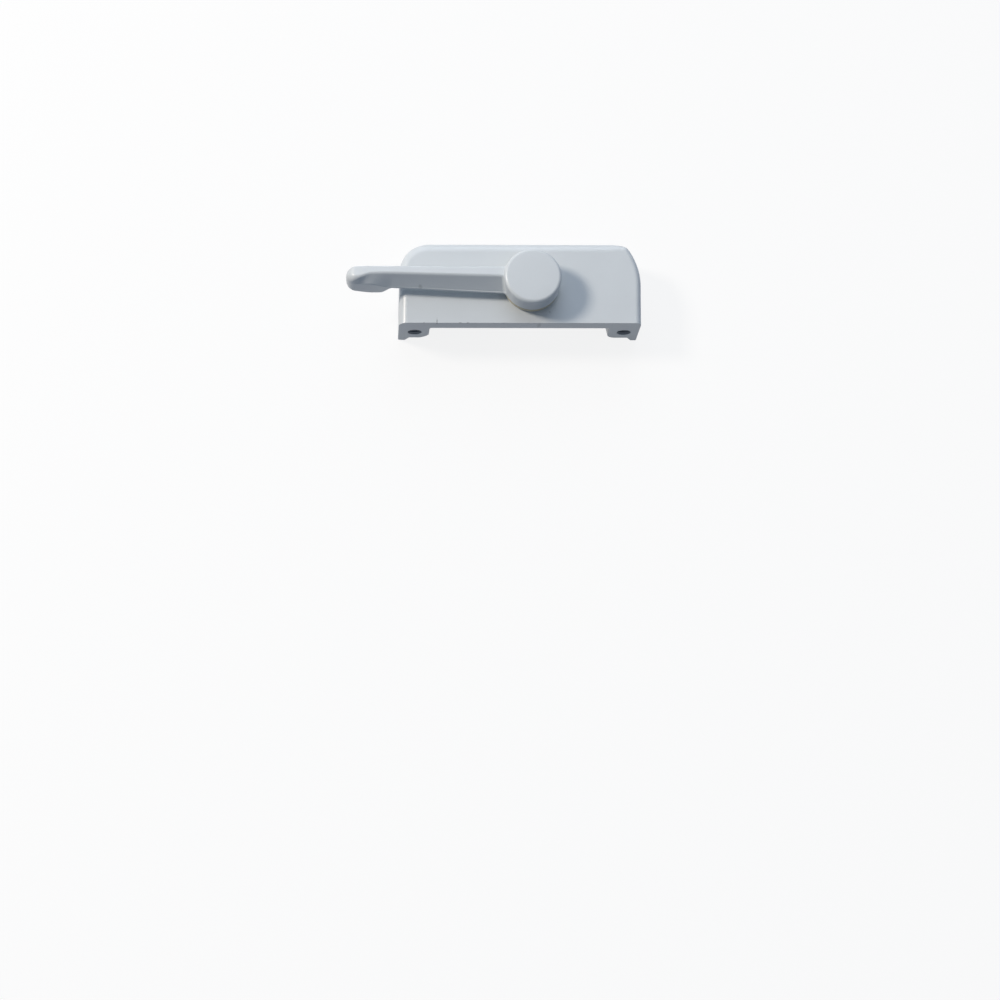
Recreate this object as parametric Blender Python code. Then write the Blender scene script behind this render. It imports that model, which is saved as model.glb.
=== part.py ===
"""Window sash lock with its lever handle, at real size, in metres.

A hollow die-cast housing carries a lever handle on a vertical pivot. The lever's spindle runs
down through a nylon bushing and turns a hooked cam, which swings out through the notch in the
front of the housing. X runs along the housing, -Y is the notched front, +Z is the pivot axis
and z = 0 is the open rim on the underside. Every mesh is drawn about the pivot axis, and every
object is then placed on it.
"""

import math

import bmesh
import bpy
from mathutils import Matrix

for old in list(bpy.data.objects):
    bpy.data.objects.remove(old, do_unlink=True)

MM = 0.001

# Fits
GAP = 0.3 * MM  # between faces that touch on the real lock
SEAT_LAP = 0.4 * MM  # how far a cast feature runs into the wall that carries it

# Housing shell
HOUSING_LENGTH = 77.0 * MM
HOUSING_DEPTH = 27.5 * MM
HOUSING_HEIGHT = 16.0 * MM
WALL = 2.2 * MM
TOP_THICKNESS = 2.6 * MM
STRIP_HEIGHT = 4.7 * MM  # the front strip above the notch, top included
SIDE_FILLET = 2.0 * MM
BACK_FILLET = 3.8 * MM
FRONT_EDGE = 0.35 * MM
LEFT_CORNER_RADIUS = 9.6 * MM
LEFT_LEAN = 0.45 * MM  # how far the left wall comes in towards the rear
RIGHT_LEAN = 0.4 * MM  # how far the right wall comes in towards the front
SHOULDER_RADIUS = 18.0 * MM  # the right rear corner: two shallow arcs and a knuckle
SHOULDER_LENGTH = 10.4 * MM
FLANK_RADIUS = 20.6 * MM
FLANK_START = 13.8 * MM
KNUCKLE_RADIUS = 3.2 * MM

# Screw bosses
BOSS_WIDTH = 9.7 * MM
RIGHT_BOSS_EXTRA = 0.4 * MM  # the right boss is a little wider
BOSS_TAPER = 1.8 * MM  # how much wider each boss is at its inner end
BOSS_DEPTH = 9.0 * MM
BOSS_LIFT = 2.4 * MM  # from the rim up to the boss
BOSS_RAMP = 1.3 * MM  # the slope from the wall's foot up to the boss
BOSS_CORNER = 3.0 * MM  # size of its inner corner
BOSS_CORNER_POWER = 1.4  # of that corner's curve: 2 is a quarter circle, 1 a chamfer
SCREW_INSET = 5.15 * MM  # from each end of the housing, which puts the holes 66.7 mm apart
SCREW_HOLE_DIAMETER = 4.4 * MM
SCREW_HEIGHT = 7.3 * MM

# Pivot
PIVOT_FROM_RIGHT = 35.2 * MM
PIVOT_FRONT_SHARE = 0.451  # of the housing's depth: 12.4 mm behind the front
SPINDLE_DIAMETER = 8.2 * MM
SLEEVE_WALL = 0.9 * MM
FLANGE_DIAMETER = 17.6 * MM
FLANGE_THICKNESS = 1.7 * MM
PAD_DIAMETER = 17.0 * MM
PAD_HEIGHT = 0.3 * MM
INNER_BOSS_DIAMETER = 16.0 * MM
INNER_BOSS_HEIGHT = 0.8 * MM

# Handle
HUB_DIAMETER = 18.0 * MM
HUB_HEIGHT = 7.0 * MM
HUB_EDGE = 1.5 * MM
HUB_FOOT_EDGE = 0.3 * MM
GRIP_CLEARANCE = 2.8 * MM  # from the housing's left end out to the drop grip
ARM_BACK = 3.7 * MM  # from the pivot axis to the arm's rear face
LAND_WIDTH_AT_HUB = 3.2 * MM
LAND_WIDTH_AT_GRIP = 2.2 * MM
LAND_DROP = 1.4 * MM  # from the hub's face down to the arm's land
ARM_EDGE = 0.7 * MM
LAND_EDGE = 1.1 * MM  # the round between the land and the slanting front face
FACE_SAG = 0.1 * MM  # how far that face is hollowed
ARM_FRONT_AT_HUB = 3.9 * MM
ARM_FRONT_AT_GRIP = 1.9 * MM
LIP_AT_HUB = 1.2 * MM  # height of the lip below the face
LIP_AT_GRIP = 0.6 * MM
LIP_WIDTH_AT_HUB = 0.9 * MM
LIP_WIDTH_AT_GRIP = 0.25 * MM
ROOT_FILLET = 0.8 * MM
GRIP_LENGTH = 13.7 * MM
GRIP_DROP = 4.6 * MM
GRIP_SLOPE = 2.4 * MM  # length over which the underside steps down
GRIP_EDGE = 1.1 * MM
GRIP_LIP = 1.7 * MM  # from the hub's underside up to the foot of the face in the grip
GRIP_RELIEF = 0.95 * MM  # how far the grip's front leans back from its underside up to there
SCOOP_END = 7.4 * MM  # from the tip to where the face has its full width
TIP_EDGE = 2.6 * MM  # the round that takes the face's place at the tip
TIP_EDGE_END = 5.0 * MM
TIP_RADIUS = 2.9 * MM
TIP_RISE = 0.9 * MM  # how far the grip's underside comes up at the tip
TIP_SETBACK = 0.4 * MM  # how far its front comes back there

# Cam, its square drive and its fastening
DRIVE_SQUARE = 5.7 * MM
DRIVE_CORNER = 0.5 * MM
CAM_HUB_DIAMETER = 14.0 * MM
CAM_HUB_HEIGHT = 3.6 * MM
CAM_FLAT = 0.6 * MM  # depth of the detent flats on the cam's hub
CAM_PLATE = 4.0 * MM
CAM_FOOT_DIAMETER = 16.0 * MM
CAM_TO_BOSS = 2.0 * MM  # between the lobe and the right boss
CAM_EDGE = 0.4 * MM
LOBE_FRONT_ANGLE = math.radians(-25)
TURN = math.radians(135)
WAVE_OUTER = 14.4 * MM
WAVE_THICKNESS = 0.4 * MM
WAVE_HEIGHT = 0.2 * MM
CAM_WASHER_DIAMETER = 11.0 * MM
CAM_WASHER_THICKNESS = 0.8 * MM
SCREW_DIAMETER = 3.4 * MM
SCREW_LENGTH = 6.2 * MM  # thread inside the spindle
SCREW_HEAD_DIAMETER = 7.6 * MM
SCREW_HEAD_HEIGHT = 1.7 * MM
SCREW_SLOT = 0.9 * MM

# Detent leaf spring, its two posts and the stops
LEAF_THICKNESS = 0.5 * MM
LEAF_HEIGHT = 2.8 * MM
LEAF_TO_STOP = 0.95 * MM  # from the leaf's end to the rest stop
LEAF_BOW = 1.9 * MM
POST_WIDTH = 4.0 * MM
POST_THICKNESS = 1.6 * MM  # of the post in front of the leaf
STOP_DIAMETER = 3.2 * MM
STOP_FROM_LOBE_END = 3.3 * MM
REST_STOP_DEPTH = 1.95 * MM  # out from the rear wall
STOP_PLAY = math.radians(1.0)
RIB_THICKNESS = 1.6 * MM

ROUND = 64
ARC = 9

# Heights, from the rim up
CEILING = HOUSING_HEIGHT - TOP_THICKNESS
PAD_TOP = HOUSING_HEIGHT + PAD_HEIGHT
FLANGE_BOTTOM = PAD_TOP + GAP
FLANGE_TOP = FLANGE_BOTTOM + FLANGE_THICKNESS
HUB_BOTTOM = FLANGE_TOP + GAP
HUB_TOP = HUB_BOTTOM + HUB_HEIGHT
LAND_TOP = HUB_TOP - LAND_DROP
INNER_BOSS_BOTTOM = CEILING - INNER_BOSS_HEIGHT
SLEEVE_BOTTOM = INNER_BOSS_BOTTOM + GAP
WAVE_TOP = INNER_BOSS_BOTTOM - GAP
WAVE_BOTTOM = WAVE_TOP - WAVE_THICKNESS - 2 * WAVE_HEIGHT
CAM_TOP = WAVE_BOTTOM - GAP
CAM_HUB_BOTTOM = CAM_TOP - CAM_HUB_HEIGHT
CAM_BOTTOM = CAM_HUB_BOTTOM - CAM_PLATE
SPINDLE_END = CAM_BOTTOM + GAP
CAM_WASHER_TOP = CAM_BOTTOM - GAP
CAM_WASHER_BOTTOM = CAM_WASHER_TOP - CAM_WASHER_THICKNESS
SCREW_HEAD_TOP = CAM_WASHER_BOTTOM - GAP
SCREW_HEAD_BOTTOM = SCREW_HEAD_TOP - SCREW_HEAD_HEIGHT
LEAF_BOTTOM = CAM_HUB_BOTTOM + 2 * GAP
POST_BOTTOM = CAM_HUB_BOTTOM + GAP

# Plan, from the pivot axis
RIGHT = PIVOT_FROM_RIGHT
LEFT = RIGHT - HOUSING_LENGTH
FRONT = -PIVOT_FRONT_SHARE * HOUSING_DEPTH
BACK = FRONT + HOUSING_DEPTH
MIDDLE = (LEFT + RIGHT) / 2
LEVER_REACH = GRIP_CLEARANCE + GRIP_LENGTH - LEFT  # from the pivot axis to the tip
HUB_RADIUS = HUB_DIAMETER / 2
SPINDLE_RADIUS = SPINDLE_DIAMETER / 2
SLEEVE_BORE = SPINDLE_RADIUS + GAP
SLEEVE_RADIUS = SLEEVE_BORE + SLEEVE_WALL
PIVOT_BORE = SLEEVE_RADIUS + GAP
LEAF_FACE = CAM_HUB_DIAMETER / 2 + GAP
LEAF_END = LEAF_FACE + LEAF_BOW + LEAF_THICKNESS / 2
INNER_BACK = BACK - WALL
CAM_REACH = RIGHT - BOSS_WIDTH - RIGHT_BOSS_EXTRA - BOSS_TAPER - CAM_TO_BOSS
REST_ANGLE = math.asin((INNER_BACK - REST_STOP_DEPTH - GAP) / CAM_REACH)
LOBE_REAR_ANGLE = REST_ANGLE - STOP_PLAY
REST_STOP_X = CAM_REACH * math.cos(REST_ANGLE)
STOP_RADIUS = CAM_REACH - STOP_FROM_LOBE_END
LEAF_SPAN = 2 * (REST_STOP_X - POST_WIDTH / 2 - LEAF_TO_STOP)

# The pivot stands where the whole lock's plan is centred on the origin
PIVOT = ((LEVER_REACH - RIGHT) / 2, -(FRONT + BACK) / 2, 0)


def smooth(low, high, value):
    """0 below low, 1 above high, an S-curve between."""
    t = min(max((value - low) / (high - low), 0), 1)
    return t * t * (3 - 2 * t)


def mix(a, b, t):
    return a + (b - a) * t


def arc(cx, cy, radius, start, end, steps=ARC):
    """Points on an arc, angles in degrees."""
    angles = [math.radians(mix(start, end, i / steps)) for i in range(steps + 1)]
    return [(cx + radius * math.cos(a), cy + radius * math.sin(a)) for a in angles]


def material(name, colour, roughness, metallic):
    made = bpy.data.materials.new(name)
    made.use_nodes = True
    shader = made.node_tree.nodes["Principled BSDF"]
    shader.inputs["Base Color"].default_value = (*colour, 1)
    shader.inputs["Roughness"].default_value = roughness
    shader.inputs["Metallic"].default_value = metallic
    made.diffuse_color = (*colour, 1)
    return made


def add_object(name, bm, finish=None):
    """A mesh object standing on the pivot. Without a finish it is a cutter or a helper."""
    bmesh.ops.recalc_face_normals(bm, faces=bm.faces)
    mesh = bpy.data.meshes.new(name)
    bm.to_mesh(mesh)
    bm.free()
    obj = bpy.data.objects.new(name, mesh)
    bpy.context.scene.collection.objects.link(obj)
    obj.location = PIVOT
    if finish is None:
        obj.hide_render = True
        obj.display_type = "WIRE"
    else:
        mesh.materials.append(finish)
        mesh.shade_smooth()
        mesh.set_sharp_from_angle(angle=math.radians(35))
    return obj


def loft(rings):
    """A closed body through rings with the same number of points, capped at both ends."""
    bm = bmesh.new()
    rows = [[bm.verts.new(point) for point in ring] for ring in rings]
    for low, high in zip(rows, rows[1:]):
        for i, corner in enumerate(low):
            after = (i + 1) % len(low)
            bm.faces.new((corner, low[after], high[after], high[i]))
    bm.faces.new(rows[0][::-1])
    bm.faces.new(rows[-1])
    return bm


def prism(outline, low, high, axis="Z"):
    """An outline pushed from low to high, along Z, or along Y for an outline in X and Z."""
    if axis == "Z":
        return loft([[(x, y, level) for x, y in outline] for level in (low, high)])
    return loft([[(x, level, z) for x, z in outline] for level in (low, high)])


def box(x0, x1, y0, y1, z0, z1):
    return prism([(x0, y0), (x1, y0), (x1, y1), (x0, y1)], z0, z1)


def revolve(profile, segments=ROUND):
    """A profile of (radius, height) turned about the pivot axis."""
    bm = bmesh.new()
    edges = []
    verts = [bm.verts.new((radius, 0, height)) for radius, height in profile]
    for first, second in zip(verts, verts[1:]):
        edges.append(bm.edges.new((first, second)))
    if profile[0][0] > 0:
        edges.append(bm.edges.new((verts[-1], verts[0])))
    bmesh.ops.spin(
        bm,
        geom=verts + edges,
        cent=(0, 0, 0),
        axis=(0, 0, 1),
        angle=2 * math.pi,
        steps=segments,
        use_merge=True,
    )
    bmesh.ops.remove_doubles(bm, verts=bm.verts, dist=0.001 * MM)
    return bm


def rod(radius, low, high, segments=ROUND):
    return revolve([(0, low), (radius, low), (radius, high), (0, high)], segments)


def moved(bm, x=0, y=0, z=0):
    bmesh.ops.translate(bm, verts=bm.verts, vec=(x, y, z))
    return bm


def boolean(obj, operation, other):
    step = obj.modifiers.new(other.name, "BOOLEAN")
    step.operation = operation
    step.solver = "EXACT"
    step.object = other


# Finishes, read from the object
WHITE_PAINT = material("white_paint", (0.62, 0.66, 0.70), 0.32, 0.0)
BEIGE_NYLON = material("beige_nylon", (0.45, 0.41, 0.31), 0.5, 0.0)
ZINC_PLATE = material("zinc_plate", (0.60, 0.60, 0.58), 0.34, 1.0)
SPRING_STEEL = material("spring_steel", (0.42, 0.42, 0.43), 0.30, 1.0)
DIE_CAST = material("die_cast_zinc", (0.50, 0.50, 0.51), 0.48, 1.0)


def knuckle_centre(inset):
    """Centre of the small arc that joins the shoulder and the flank at the right rear corner."""
    ax, ay = RIGHT - SHOULDER_LENGTH, BACK - SHOULDER_RADIUS
    bx, by = RIGHT - FLANK_RADIUS, FRONT + FLANK_START
    ra, rb = SHOULDER_RADIUS - KNUCKLE_RADIUS, FLANK_RADIUS - KNUCKLE_RADIUS
    apart = math.hypot(bx - ax, by - ay)
    along = (ra * ra - rb * rb + apart * apart) / (2 * apart)
    off = math.sqrt(max(ra * ra - along * along, 0))
    ux, uy = (bx - ax) / apart, (by - ay) / apart
    first = (ax + ux * along - uy * off, ay + uy * along + ux * off)
    second = (ax + ux * along + uy * off, ay + uy * along - ux * off)
    return max(first, second, key=lambda point: point[0] + point[1])


def footprint(inset=0, front=0):
    """The wall's plan, from the front left round the back to the front right, with the
    outward normal at each point. Inset moves it inwards, front moves its ends back."""
    kx, ky = knuckle_centre(inset)
    ax, ay = RIGHT - SHOULDER_LENGTH, BACK - SHOULDER_RADIUS
    bx, by = RIGHT - FLANK_RADIUS, FRONT + FLANK_START
    shoulder = math.degrees(math.atan2(ky - ay, kx - ax))
    flank = math.degrees(math.atan2(ky - by, kx - bx))
    lx, ly = LEFT + LEFT_LEAN + LEFT_CORNER_RADIUS, BACK - LEFT_CORNER_RADIUS
    turns = [(lx, ly, LEFT_CORNER_RADIUS, 180, 90, ARC)]
    turns.append((ax, ay, SHOULDER_RADIUS, 90, shoulder, 5))
    turns.append((kx, ky, KNUCKLE_RADIUS, shoulder, flank, 5))
    turns.append((bx, by, FLANK_RADIUS, flank, 0, 6))
    plan = [(LEFT + inset, FRONT + front, -1.0, 0.0)]
    for cx, cy, radius, start, end, steps in turns:
        for x, y in arc(cx, cy, radius, start, end, steps):
            nx, ny = (x - cx) / radius, (y - cy) / radius
            if math.hypot(x - inset * nx - plan[-1][0], y - inset * ny - plan[-1][1]) > 0.02 * MM:
                plan.append((x - inset * nx, y - inset * ny, nx, ny))
    plan.append((RIGHT - RIGHT_LEAN - inset, FRONT + front, 1.0, 0.0))
    return plan


def shell_rings(plan, low, high, side, rear, steps):
    """Rings up a wall that turns in to a flat top over a fillet, wider at the rear."""
    rings = [[(x, y, low) for x, y, nx, ny in plan]]
    for i in range(steps + 1):
        lean = math.pi / 2 * i / steps
        ring = []
        for x, y, nx, ny in plan:
            fillet = mix(side, rear, max(ny, 0) ** 2)
            inward = fillet * (1 - math.cos(lean))
            height = high - fillet * (1 - math.sin(lean))
            ring.append((x - nx * inward, y - ny * inward, height))
        rings.append(ring)
    return rings


# Housing: one zinc die casting, painted. Its front is cut flat across the side fillets.
housing = add_object(
    "housing",
    loft(shell_rings(footprint(), 0, HOUSING_HEIGHT, SIDE_FILLET, BACK_FILLET, 6)),
    WHITE_PAINT,
)
edge_weight = housing.data.attributes.new("bevel_weight_edge", "FLOAT", "EDGE")
points = housing.data.vertices
for edge in housing.data.edges:
    ends = [points[i].co for i in edge.vertices]
    on_front = all(abs(end.y - FRONT) < 0.01 * MM for end in ends)
    on_top = all(end.z > HOUSING_HEIGHT - 0.01 * MM for end in ends)
    edge_weight.data[edge.index].value = 1.0 if on_front and on_top else 0.0
edge_round = housing.modifiers.new("front_edge", "BEVEL")
edge_round.limit_method = "WEIGHT"
edge_round.width = FRONT_EDGE
edge_round.segments = 2

# The hollow runs up to the ceiling and out through the front below the strip. What the
# bosses take up is left out of it, so they stay solid.
inner_radius_cut = 1.0 * MM
hollow = add_object(
    "hollow_cutter",
    loft(
        shell_rings(
            footprint(WALL, WALL), -2 * WALL, CEILING, inner_radius_cut, inner_radius_cut, 3
        )
    ),
)
notch = add_object(
    "notch_cutter",
    box(LEFT + WALL, RIGHT - WALL, FRONT - WALL, FRONT + 2 * WALL, -WALL, HOUSING_HEIGHT - STRIP_HEIGHT),
)
boolean(hollow, "UNION", notch)
for name, side, extra in (("left_boss_form", -1, 0), ("right_boss_form", 1, RIGHT_BOSS_EXTRA)):
    outer = MIDDLE + side * (HOUSING_LENGTH / 2 + WALL)
    foot = MIDDLE + side * (HOUSING_LENGTH / 2 - WALL + BOSS_RAMP * SEAT_LAP / BOSS_LIFT)
    ramp_top = MIDDLE + side * (HOUSING_LENGTH / 2 - WALL - BOSS_RAMP)
    ramp = [(outer, -SEAT_LAP), (foot, -SEAT_LAP), (ramp_top, BOSS_LIFT)]
    rings = []
    for y, wider in ((FRONT - 2 * WALL, 0), (FRONT, 0), (FRONT + BOSS_DEPTH, BOSS_TAPER)):
        inner = MIDDLE + side * (HOUSING_LENGTH / 2 - BOSS_WIDTH - extra - wider)
        corner = []
        for i in range(ARC + 1):
            turn = math.pi / 2 * i / ARC
            across = BOSS_CORNER * (1 - math.sin(turn) ** (2 / BOSS_CORNER_POWER))
            up = BOSS_CORNER * (1 - math.cos(turn) ** (2 / BOSS_CORNER_POWER))
            corner.append((inner + side * across, BOSS_LIFT + up))
        outline = [(outer, HOUSING_HEIGHT), *ramp, *corner, (inner, HOUSING_HEIGHT)]
        rings.append([(x, y, z) for x, z in outline])
    boss_form = add_object(name, loft(rings))
    boolean(hollow, "DIFFERENCE", boss_form)
boolean(housing, "DIFFERENCE", hollow)

# The two screw holes, tapped right through their bosses.
for name, side in (("left_hole_cutter", -1), ("right_hole_cutter", 1)):
    centre = MIDDLE + side * (HOUSING_LENGTH / 2 - SCREW_INSET)
    circle = arc(centre, SCREW_HEIGHT, SCREW_HOLE_DIAMETER / 2, 0, 360, 32)[:-1]
    hole = add_object(name, prism(circle, FRONT - WALL, FRONT + BOSS_DEPTH + WALL, "Y"))
    boolean(housing, "DIFFERENCE", hole)

# The collar round the pivot bore: a pad above the top and a boss below the ceiling.
opening_radius = PIVOT_BORE + (min(PAD_DIAMETER, INNER_BOSS_DIAMETER) / 2 - PIVOT_BORE) / 2
opening = add_object("opening_cutter", rod(opening_radius, CEILING - WALL, HOUSING_HEIGHT + WALL))
boolean(housing, "DIFFERENCE", opening)
collar = add_object(
    "collar_form",
    revolve(
        [
            (PIVOT_BORE, INNER_BOSS_BOTTOM),
            (INNER_BOSS_DIAMETER / 2, INNER_BOSS_BOTTOM),
            (INNER_BOSS_DIAMETER / 2, CEILING + SEAT_LAP),
            (PAD_DIAMETER / 2, HOUSING_HEIGHT - SEAT_LAP),
            (PAD_DIAMETER / 2, PAD_TOP),
            (PIVOT_BORE, PAD_TOP),
        ]
    ),
)
boolean(housing, "UNION", collar)

# Cast features under the top: the slotted posts of the leaf spring, the two stops that the
# cam's lobe meets, and a stiffening rib behind each boss.
for name, side in (("left_post", -1), ("right_post", 1)):
    outer = side * (LEAF_SPAN / 2 + POST_WIDTH / 2)
    inner = side * (LEAF_SPAN / 2 - POST_WIDTH / 2)
    near = LEAF_END - LEAF_THICKNESS / 2 - GAP - POST_THICKNESS
    far = INNER_BACK + SEAT_LAP
    post = add_object(
        name + "_form",
        box(min(inner, outer), max(inner, outer), near, far, POST_BOTTOM, CEILING + SEAT_LAP),
    )
    slot_end = side * (LEAF_SPAN / 2 + GAP)
    slot_mouth = side * (LEAF_SPAN / 2 - POST_WIDTH)
    slot = add_object(
        name + "_slot_cutter",
        box(
            min(slot_mouth, slot_end),
            max(slot_mouth, slot_end),
            LEAF_END - LEAF_THICKNESS / 2 - GAP,
            LEAF_END + LEAF_THICKNESS / 2 + GAP,
            POST_BOTTOM - WALL,
            LEAF_BOTTOM + LEAF_HEIGHT + GAP,
        ),
    )
    boolean(post, "DIFFERENCE", slot)
    boolean(housing, "UNION", post)
stop_angle = LOBE_FRONT_ANGLE - TURN - STOP_PLAY - math.asin(STOP_DIAMETER / 2 / STOP_RADIUS)
stop_post = add_object(
    "stop_post_form",
    moved(
        rod(STOP_DIAMETER / 2, CAM_BOTTOM + GAP, CEILING + SEAT_LAP, 24),
        STOP_RADIUS * math.cos(stop_angle),
        STOP_RADIUS * math.sin(stop_angle),
    ),
)
boolean(housing, "UNION", stop_post)
rest_stop = add_object(
    "rest_stop_form",
    box(
        REST_STOP_X - POST_WIDTH / 2,
        REST_STOP_X + POST_WIDTH / 2,
        INNER_BACK - REST_STOP_DEPTH,
        INNER_BACK + SEAT_LAP,
        CAM_BOTTOM + GAP,
        CEILING + SEAT_LAP,
    ),
)
boolean(housing, "UNION", rest_stop)
for name, side in (("left_rib_form", -1), ("right_rib_form", 1)):
    centre = MIDDLE + side * (HOUSING_LENGTH / 2 - BOSS_WIDTH - BOSS_TAPER + RIB_THICKNESS)
    rib = add_object(
        name,
        box(
            centre - RIB_THICKNESS / 2,
            centre + RIB_THICKNESS / 2,
            FRONT + BOSS_DEPTH - SEAT_LAP,
            INNER_BACK + SEAT_LAP,
            CEILING - STRIP_HEIGHT / 2,
            CEILING + SEAT_LAP,
        ),
    )
    boolean(housing, "UNION", rib)


# Pivot bushing: a nylon sleeve with the flange that shows under the hub.
add_object(
    "pivot_bushing",
    revolve(
        [
            (SLEEVE_BORE, SLEEVE_BOTTOM),
            (SLEEVE_RADIUS, SLEEVE_BOTTOM),
            (SLEEVE_RADIUS, FLANGE_BOTTOM),
            (FLANGE_DIAMETER / 2, FLANGE_BOTTOM),
            (FLANGE_DIAMETER / 2, FLANGE_TOP),
            (SLEEVE_BORE, FLANGE_TOP),
        ]
    ),
    BEIGE_NYLON,
)


# Handle: hub, spindle, arm and drop grip, one casting. The hub and the round part of the
# spindle are one turned profile.
turn_axis = bpy.data.objects.new("turn_axis", None)
turn_axis.empty_display_size = HUB_DIAMETER
turn_axis.location = PIVOT
bpy.context.scene.collection.objects.link(turn_axis)


def carried(obj):
    """Hangs a piece on the turning axis, where it already stands."""
    obj.parent = turn_axis
    obj.matrix_parent_inverse = Matrix.Translation(PIVOT).inverted()


handle = add_object(
    "handle",
    revolve(
        [
            (0, HUB_TOP),
            *arc(HUB_RADIUS - HUB_EDGE, HUB_TOP - HUB_EDGE, HUB_EDGE, 90, 0, 4),
            *arc(HUB_RADIUS - HUB_FOOT_EDGE, HUB_BOTTOM + HUB_FOOT_EDGE, HUB_FOOT_EDGE, 0, -90, 1),
            (SPINDLE_RADIUS, HUB_BOTTOM),
            (SPINDLE_RADIUS, CAM_TOP + GAP),
            (0, CAM_TOP + GAP),
        ]
    ),
    WHITE_PAINT,
)


def arm_ring(s):
    """The arm's outline at the distance s from the hub's side, as (y, z) about the pivot: a
    rear wall, a flat land, a slanting face for the finger and a thin lip at its foot. In the
    grip the lip is the brow of a taller front, and at the tip the face runs out in a round."""
    to_tip = LEVER_REACH - HUB_RADIUS - s
    root = max(ROOT_FILLET - max(s, 0), 0)
    flare = ROOT_FILLET - math.sqrt(ROOT_FILLET**2 - root**2)
    in_grip = 1 - smooth(GRIP_LENGTH - GRIP_SLOPE, GRIP_LENGTH, to_tip)
    scoop = smooth(0, SCOOP_END, to_tip)
    along = min(max(s, 0) / (LEVER_REACH - HUB_RADIUS - GRIP_LENGTH), 1)
    low = HUB_BOTTOM - GRIP_DROP * in_grip + TIP_RISE * (1 - scoop)
    top = LAND_TOP
    back = ARM_BACK + flare
    front = -mix(ARM_FRONT_AT_HUB, ARM_FRONT_AT_GRIP, along) - flare + TIP_SETBACK * (1 - scoop)
    brow = front + GRIP_RELIEF * in_grip
    lip = HUB_BOTTOM + mix(mix(LIP_AT_HUB, LIP_AT_GRIP, along), GRIP_LIP, in_grip) + flare
    foot = brow + mix(LIP_WIDTH_AT_HUB, LIP_WIDTH_AT_GRIP, along) * (1 - in_grip / 2)
    land = ARM_BACK - mix(LAND_WIDTH_AT_HUB, LAND_WIDTH_AT_GRIP, along) - flare
    land = mix(foot + LIP_WIDTH_AT_GRIP / 5, land, scoop)
    lean = math.atan2(top - lip, land - foot)
    edge = mix(TIP_EDGE, LAND_EDGE, smooth(0, TIP_EDGE_END, to_tip))
    under = mix(ARM_EDGE / 2, GRIP_EDGE, in_grip)
    rim = min(ARM_EDGE / 2, foot - brow)
    ring = arc(back - under, low + under, under, -90, 0, 3)
    ring += arc(back - ARM_EDGE, top - ARM_EDGE, ARM_EDGE, 0, 90, 3)
    crest = land + edge * math.tan(lean / 2)
    ring += arc(crest, top - edge, edge, 90, 90 + math.degrees(lean), 5)
    face_y, face_z = ring[-1]
    length = (top - lip) / math.sin(lean) - edge * math.tan(lean / 2)
    for i in range(1, 6):
        reach = length * i / 6
        sag = FACE_SAG * scoop * math.sin(math.pi * i / 6)
        y = face_y - reach * math.cos(lean) + sag * math.sin(lean)
        ring.append((y, face_z - reach * math.sin(lean) - sag * math.cos(lean)))
    ring += arc(brow + rim, lip - rim, rim, 90, 180, 2)
    ring += arc(front + under, low + under, under, 180, 270, 3)
    if to_tip < TIP_RADIUS:
        closing = TIP_RADIUS - math.sqrt(TIP_RADIUS**2 - (TIP_RADIUS - to_tip) ** 2)
        cy, cz = (back + front) / 2, (top + low) / 2
        narrow = 1 - closing / max((back - front) / 2, TIP_RADIUS * 1.04)
        short = 1 - closing / max((top - low) / 2, TIP_RADIUS * 1.04)
        ring = [(cy + (y - cy) * narrow, cz + (z - cz) * short) for y, z in ring]
    return ring


def arm_rings():
    """Rings from inside the hub to the tip. They lie round the hub at first, so that the
    root fillet follows its side, and stand straight across the arm further out."""
    length = LEVER_REACH - HUB_RADIUS
    grip = length - GRIP_LENGTH
    stations = [-ROOT_FILLET, 0]
    stations += [ROOT_FILLET * t for t in (0.1, 0.3, 0.6, 1)]
    stations += [mix(ROOT_FILLET, grip, i / 7) for i in range(1, 8)]
    stations += [grip + GRIP_SLOPE * i / 5 for i in range(1, 6)]
    stations += [mix(grip + GRIP_SLOPE, length - TIP_RADIUS, i / 6) for i in range(1, 7)]
    stations += [length - TIP_RADIUS * t for t in (0.66, 0.4, 0.2, 0.07, 0)]
    rings = []
    for s in stations:
        wrap = 1 - smooth(0, HUB_RADIUS, s)
        ring = []
        for y, z in arm_ring(s):
            bulge = HUB_RADIUS - math.sqrt(max(HUB_RADIUS**2 - y * y, 0))
            ring.append((-HUB_RADIUS - s + bulge * wrap, y, z))
        rings.append(ring)
    return rings


arm = add_object("arm_form", loft(arm_rings()))
boolean(handle, "UNION", arm)

square = DRIVE_SQUARE / 2 - DRIVE_CORNER
corners = []
for quarter in range(4):
    middle = math.radians(90 * quarter + 45)
    cx = math.copysign(square, math.cos(middle))
    cy = math.copysign(square, math.sin(middle))
    corners += arc(cx, cy, DRIVE_CORNER, 90 * quarter, 90 * quarter + 90, 3)
drive = add_object("drive_form", prism(corners, SPINDLE_END, CAM_TOP + GAP + SEAT_LAP))
boolean(handle, "UNION", drive)
tapping = add_object(
    "tapping_cutter",
    rod(SCREW_DIAMETER / 2 + GAP, SPINDLE_END - WALL, SCREW_HEAD_TOP + SCREW_LENGTH + 2 * GAP, 24),
)
boolean(handle, "DIFFERENCE", tapping)
carried(handle)


# Wave washer: a thin ring bent into three waves, which takes up the play above the cam.
def wave_ring(radius, level, steps=48):
    ring = []
    for i in range(steps):
        turn = 2 * math.pi * i / steps
        lift = level + WAVE_HEIGHT * math.sin(3 * turn)
        ring.append((radius * math.cos(turn), radius * math.sin(turn), lift))
    return ring


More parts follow.
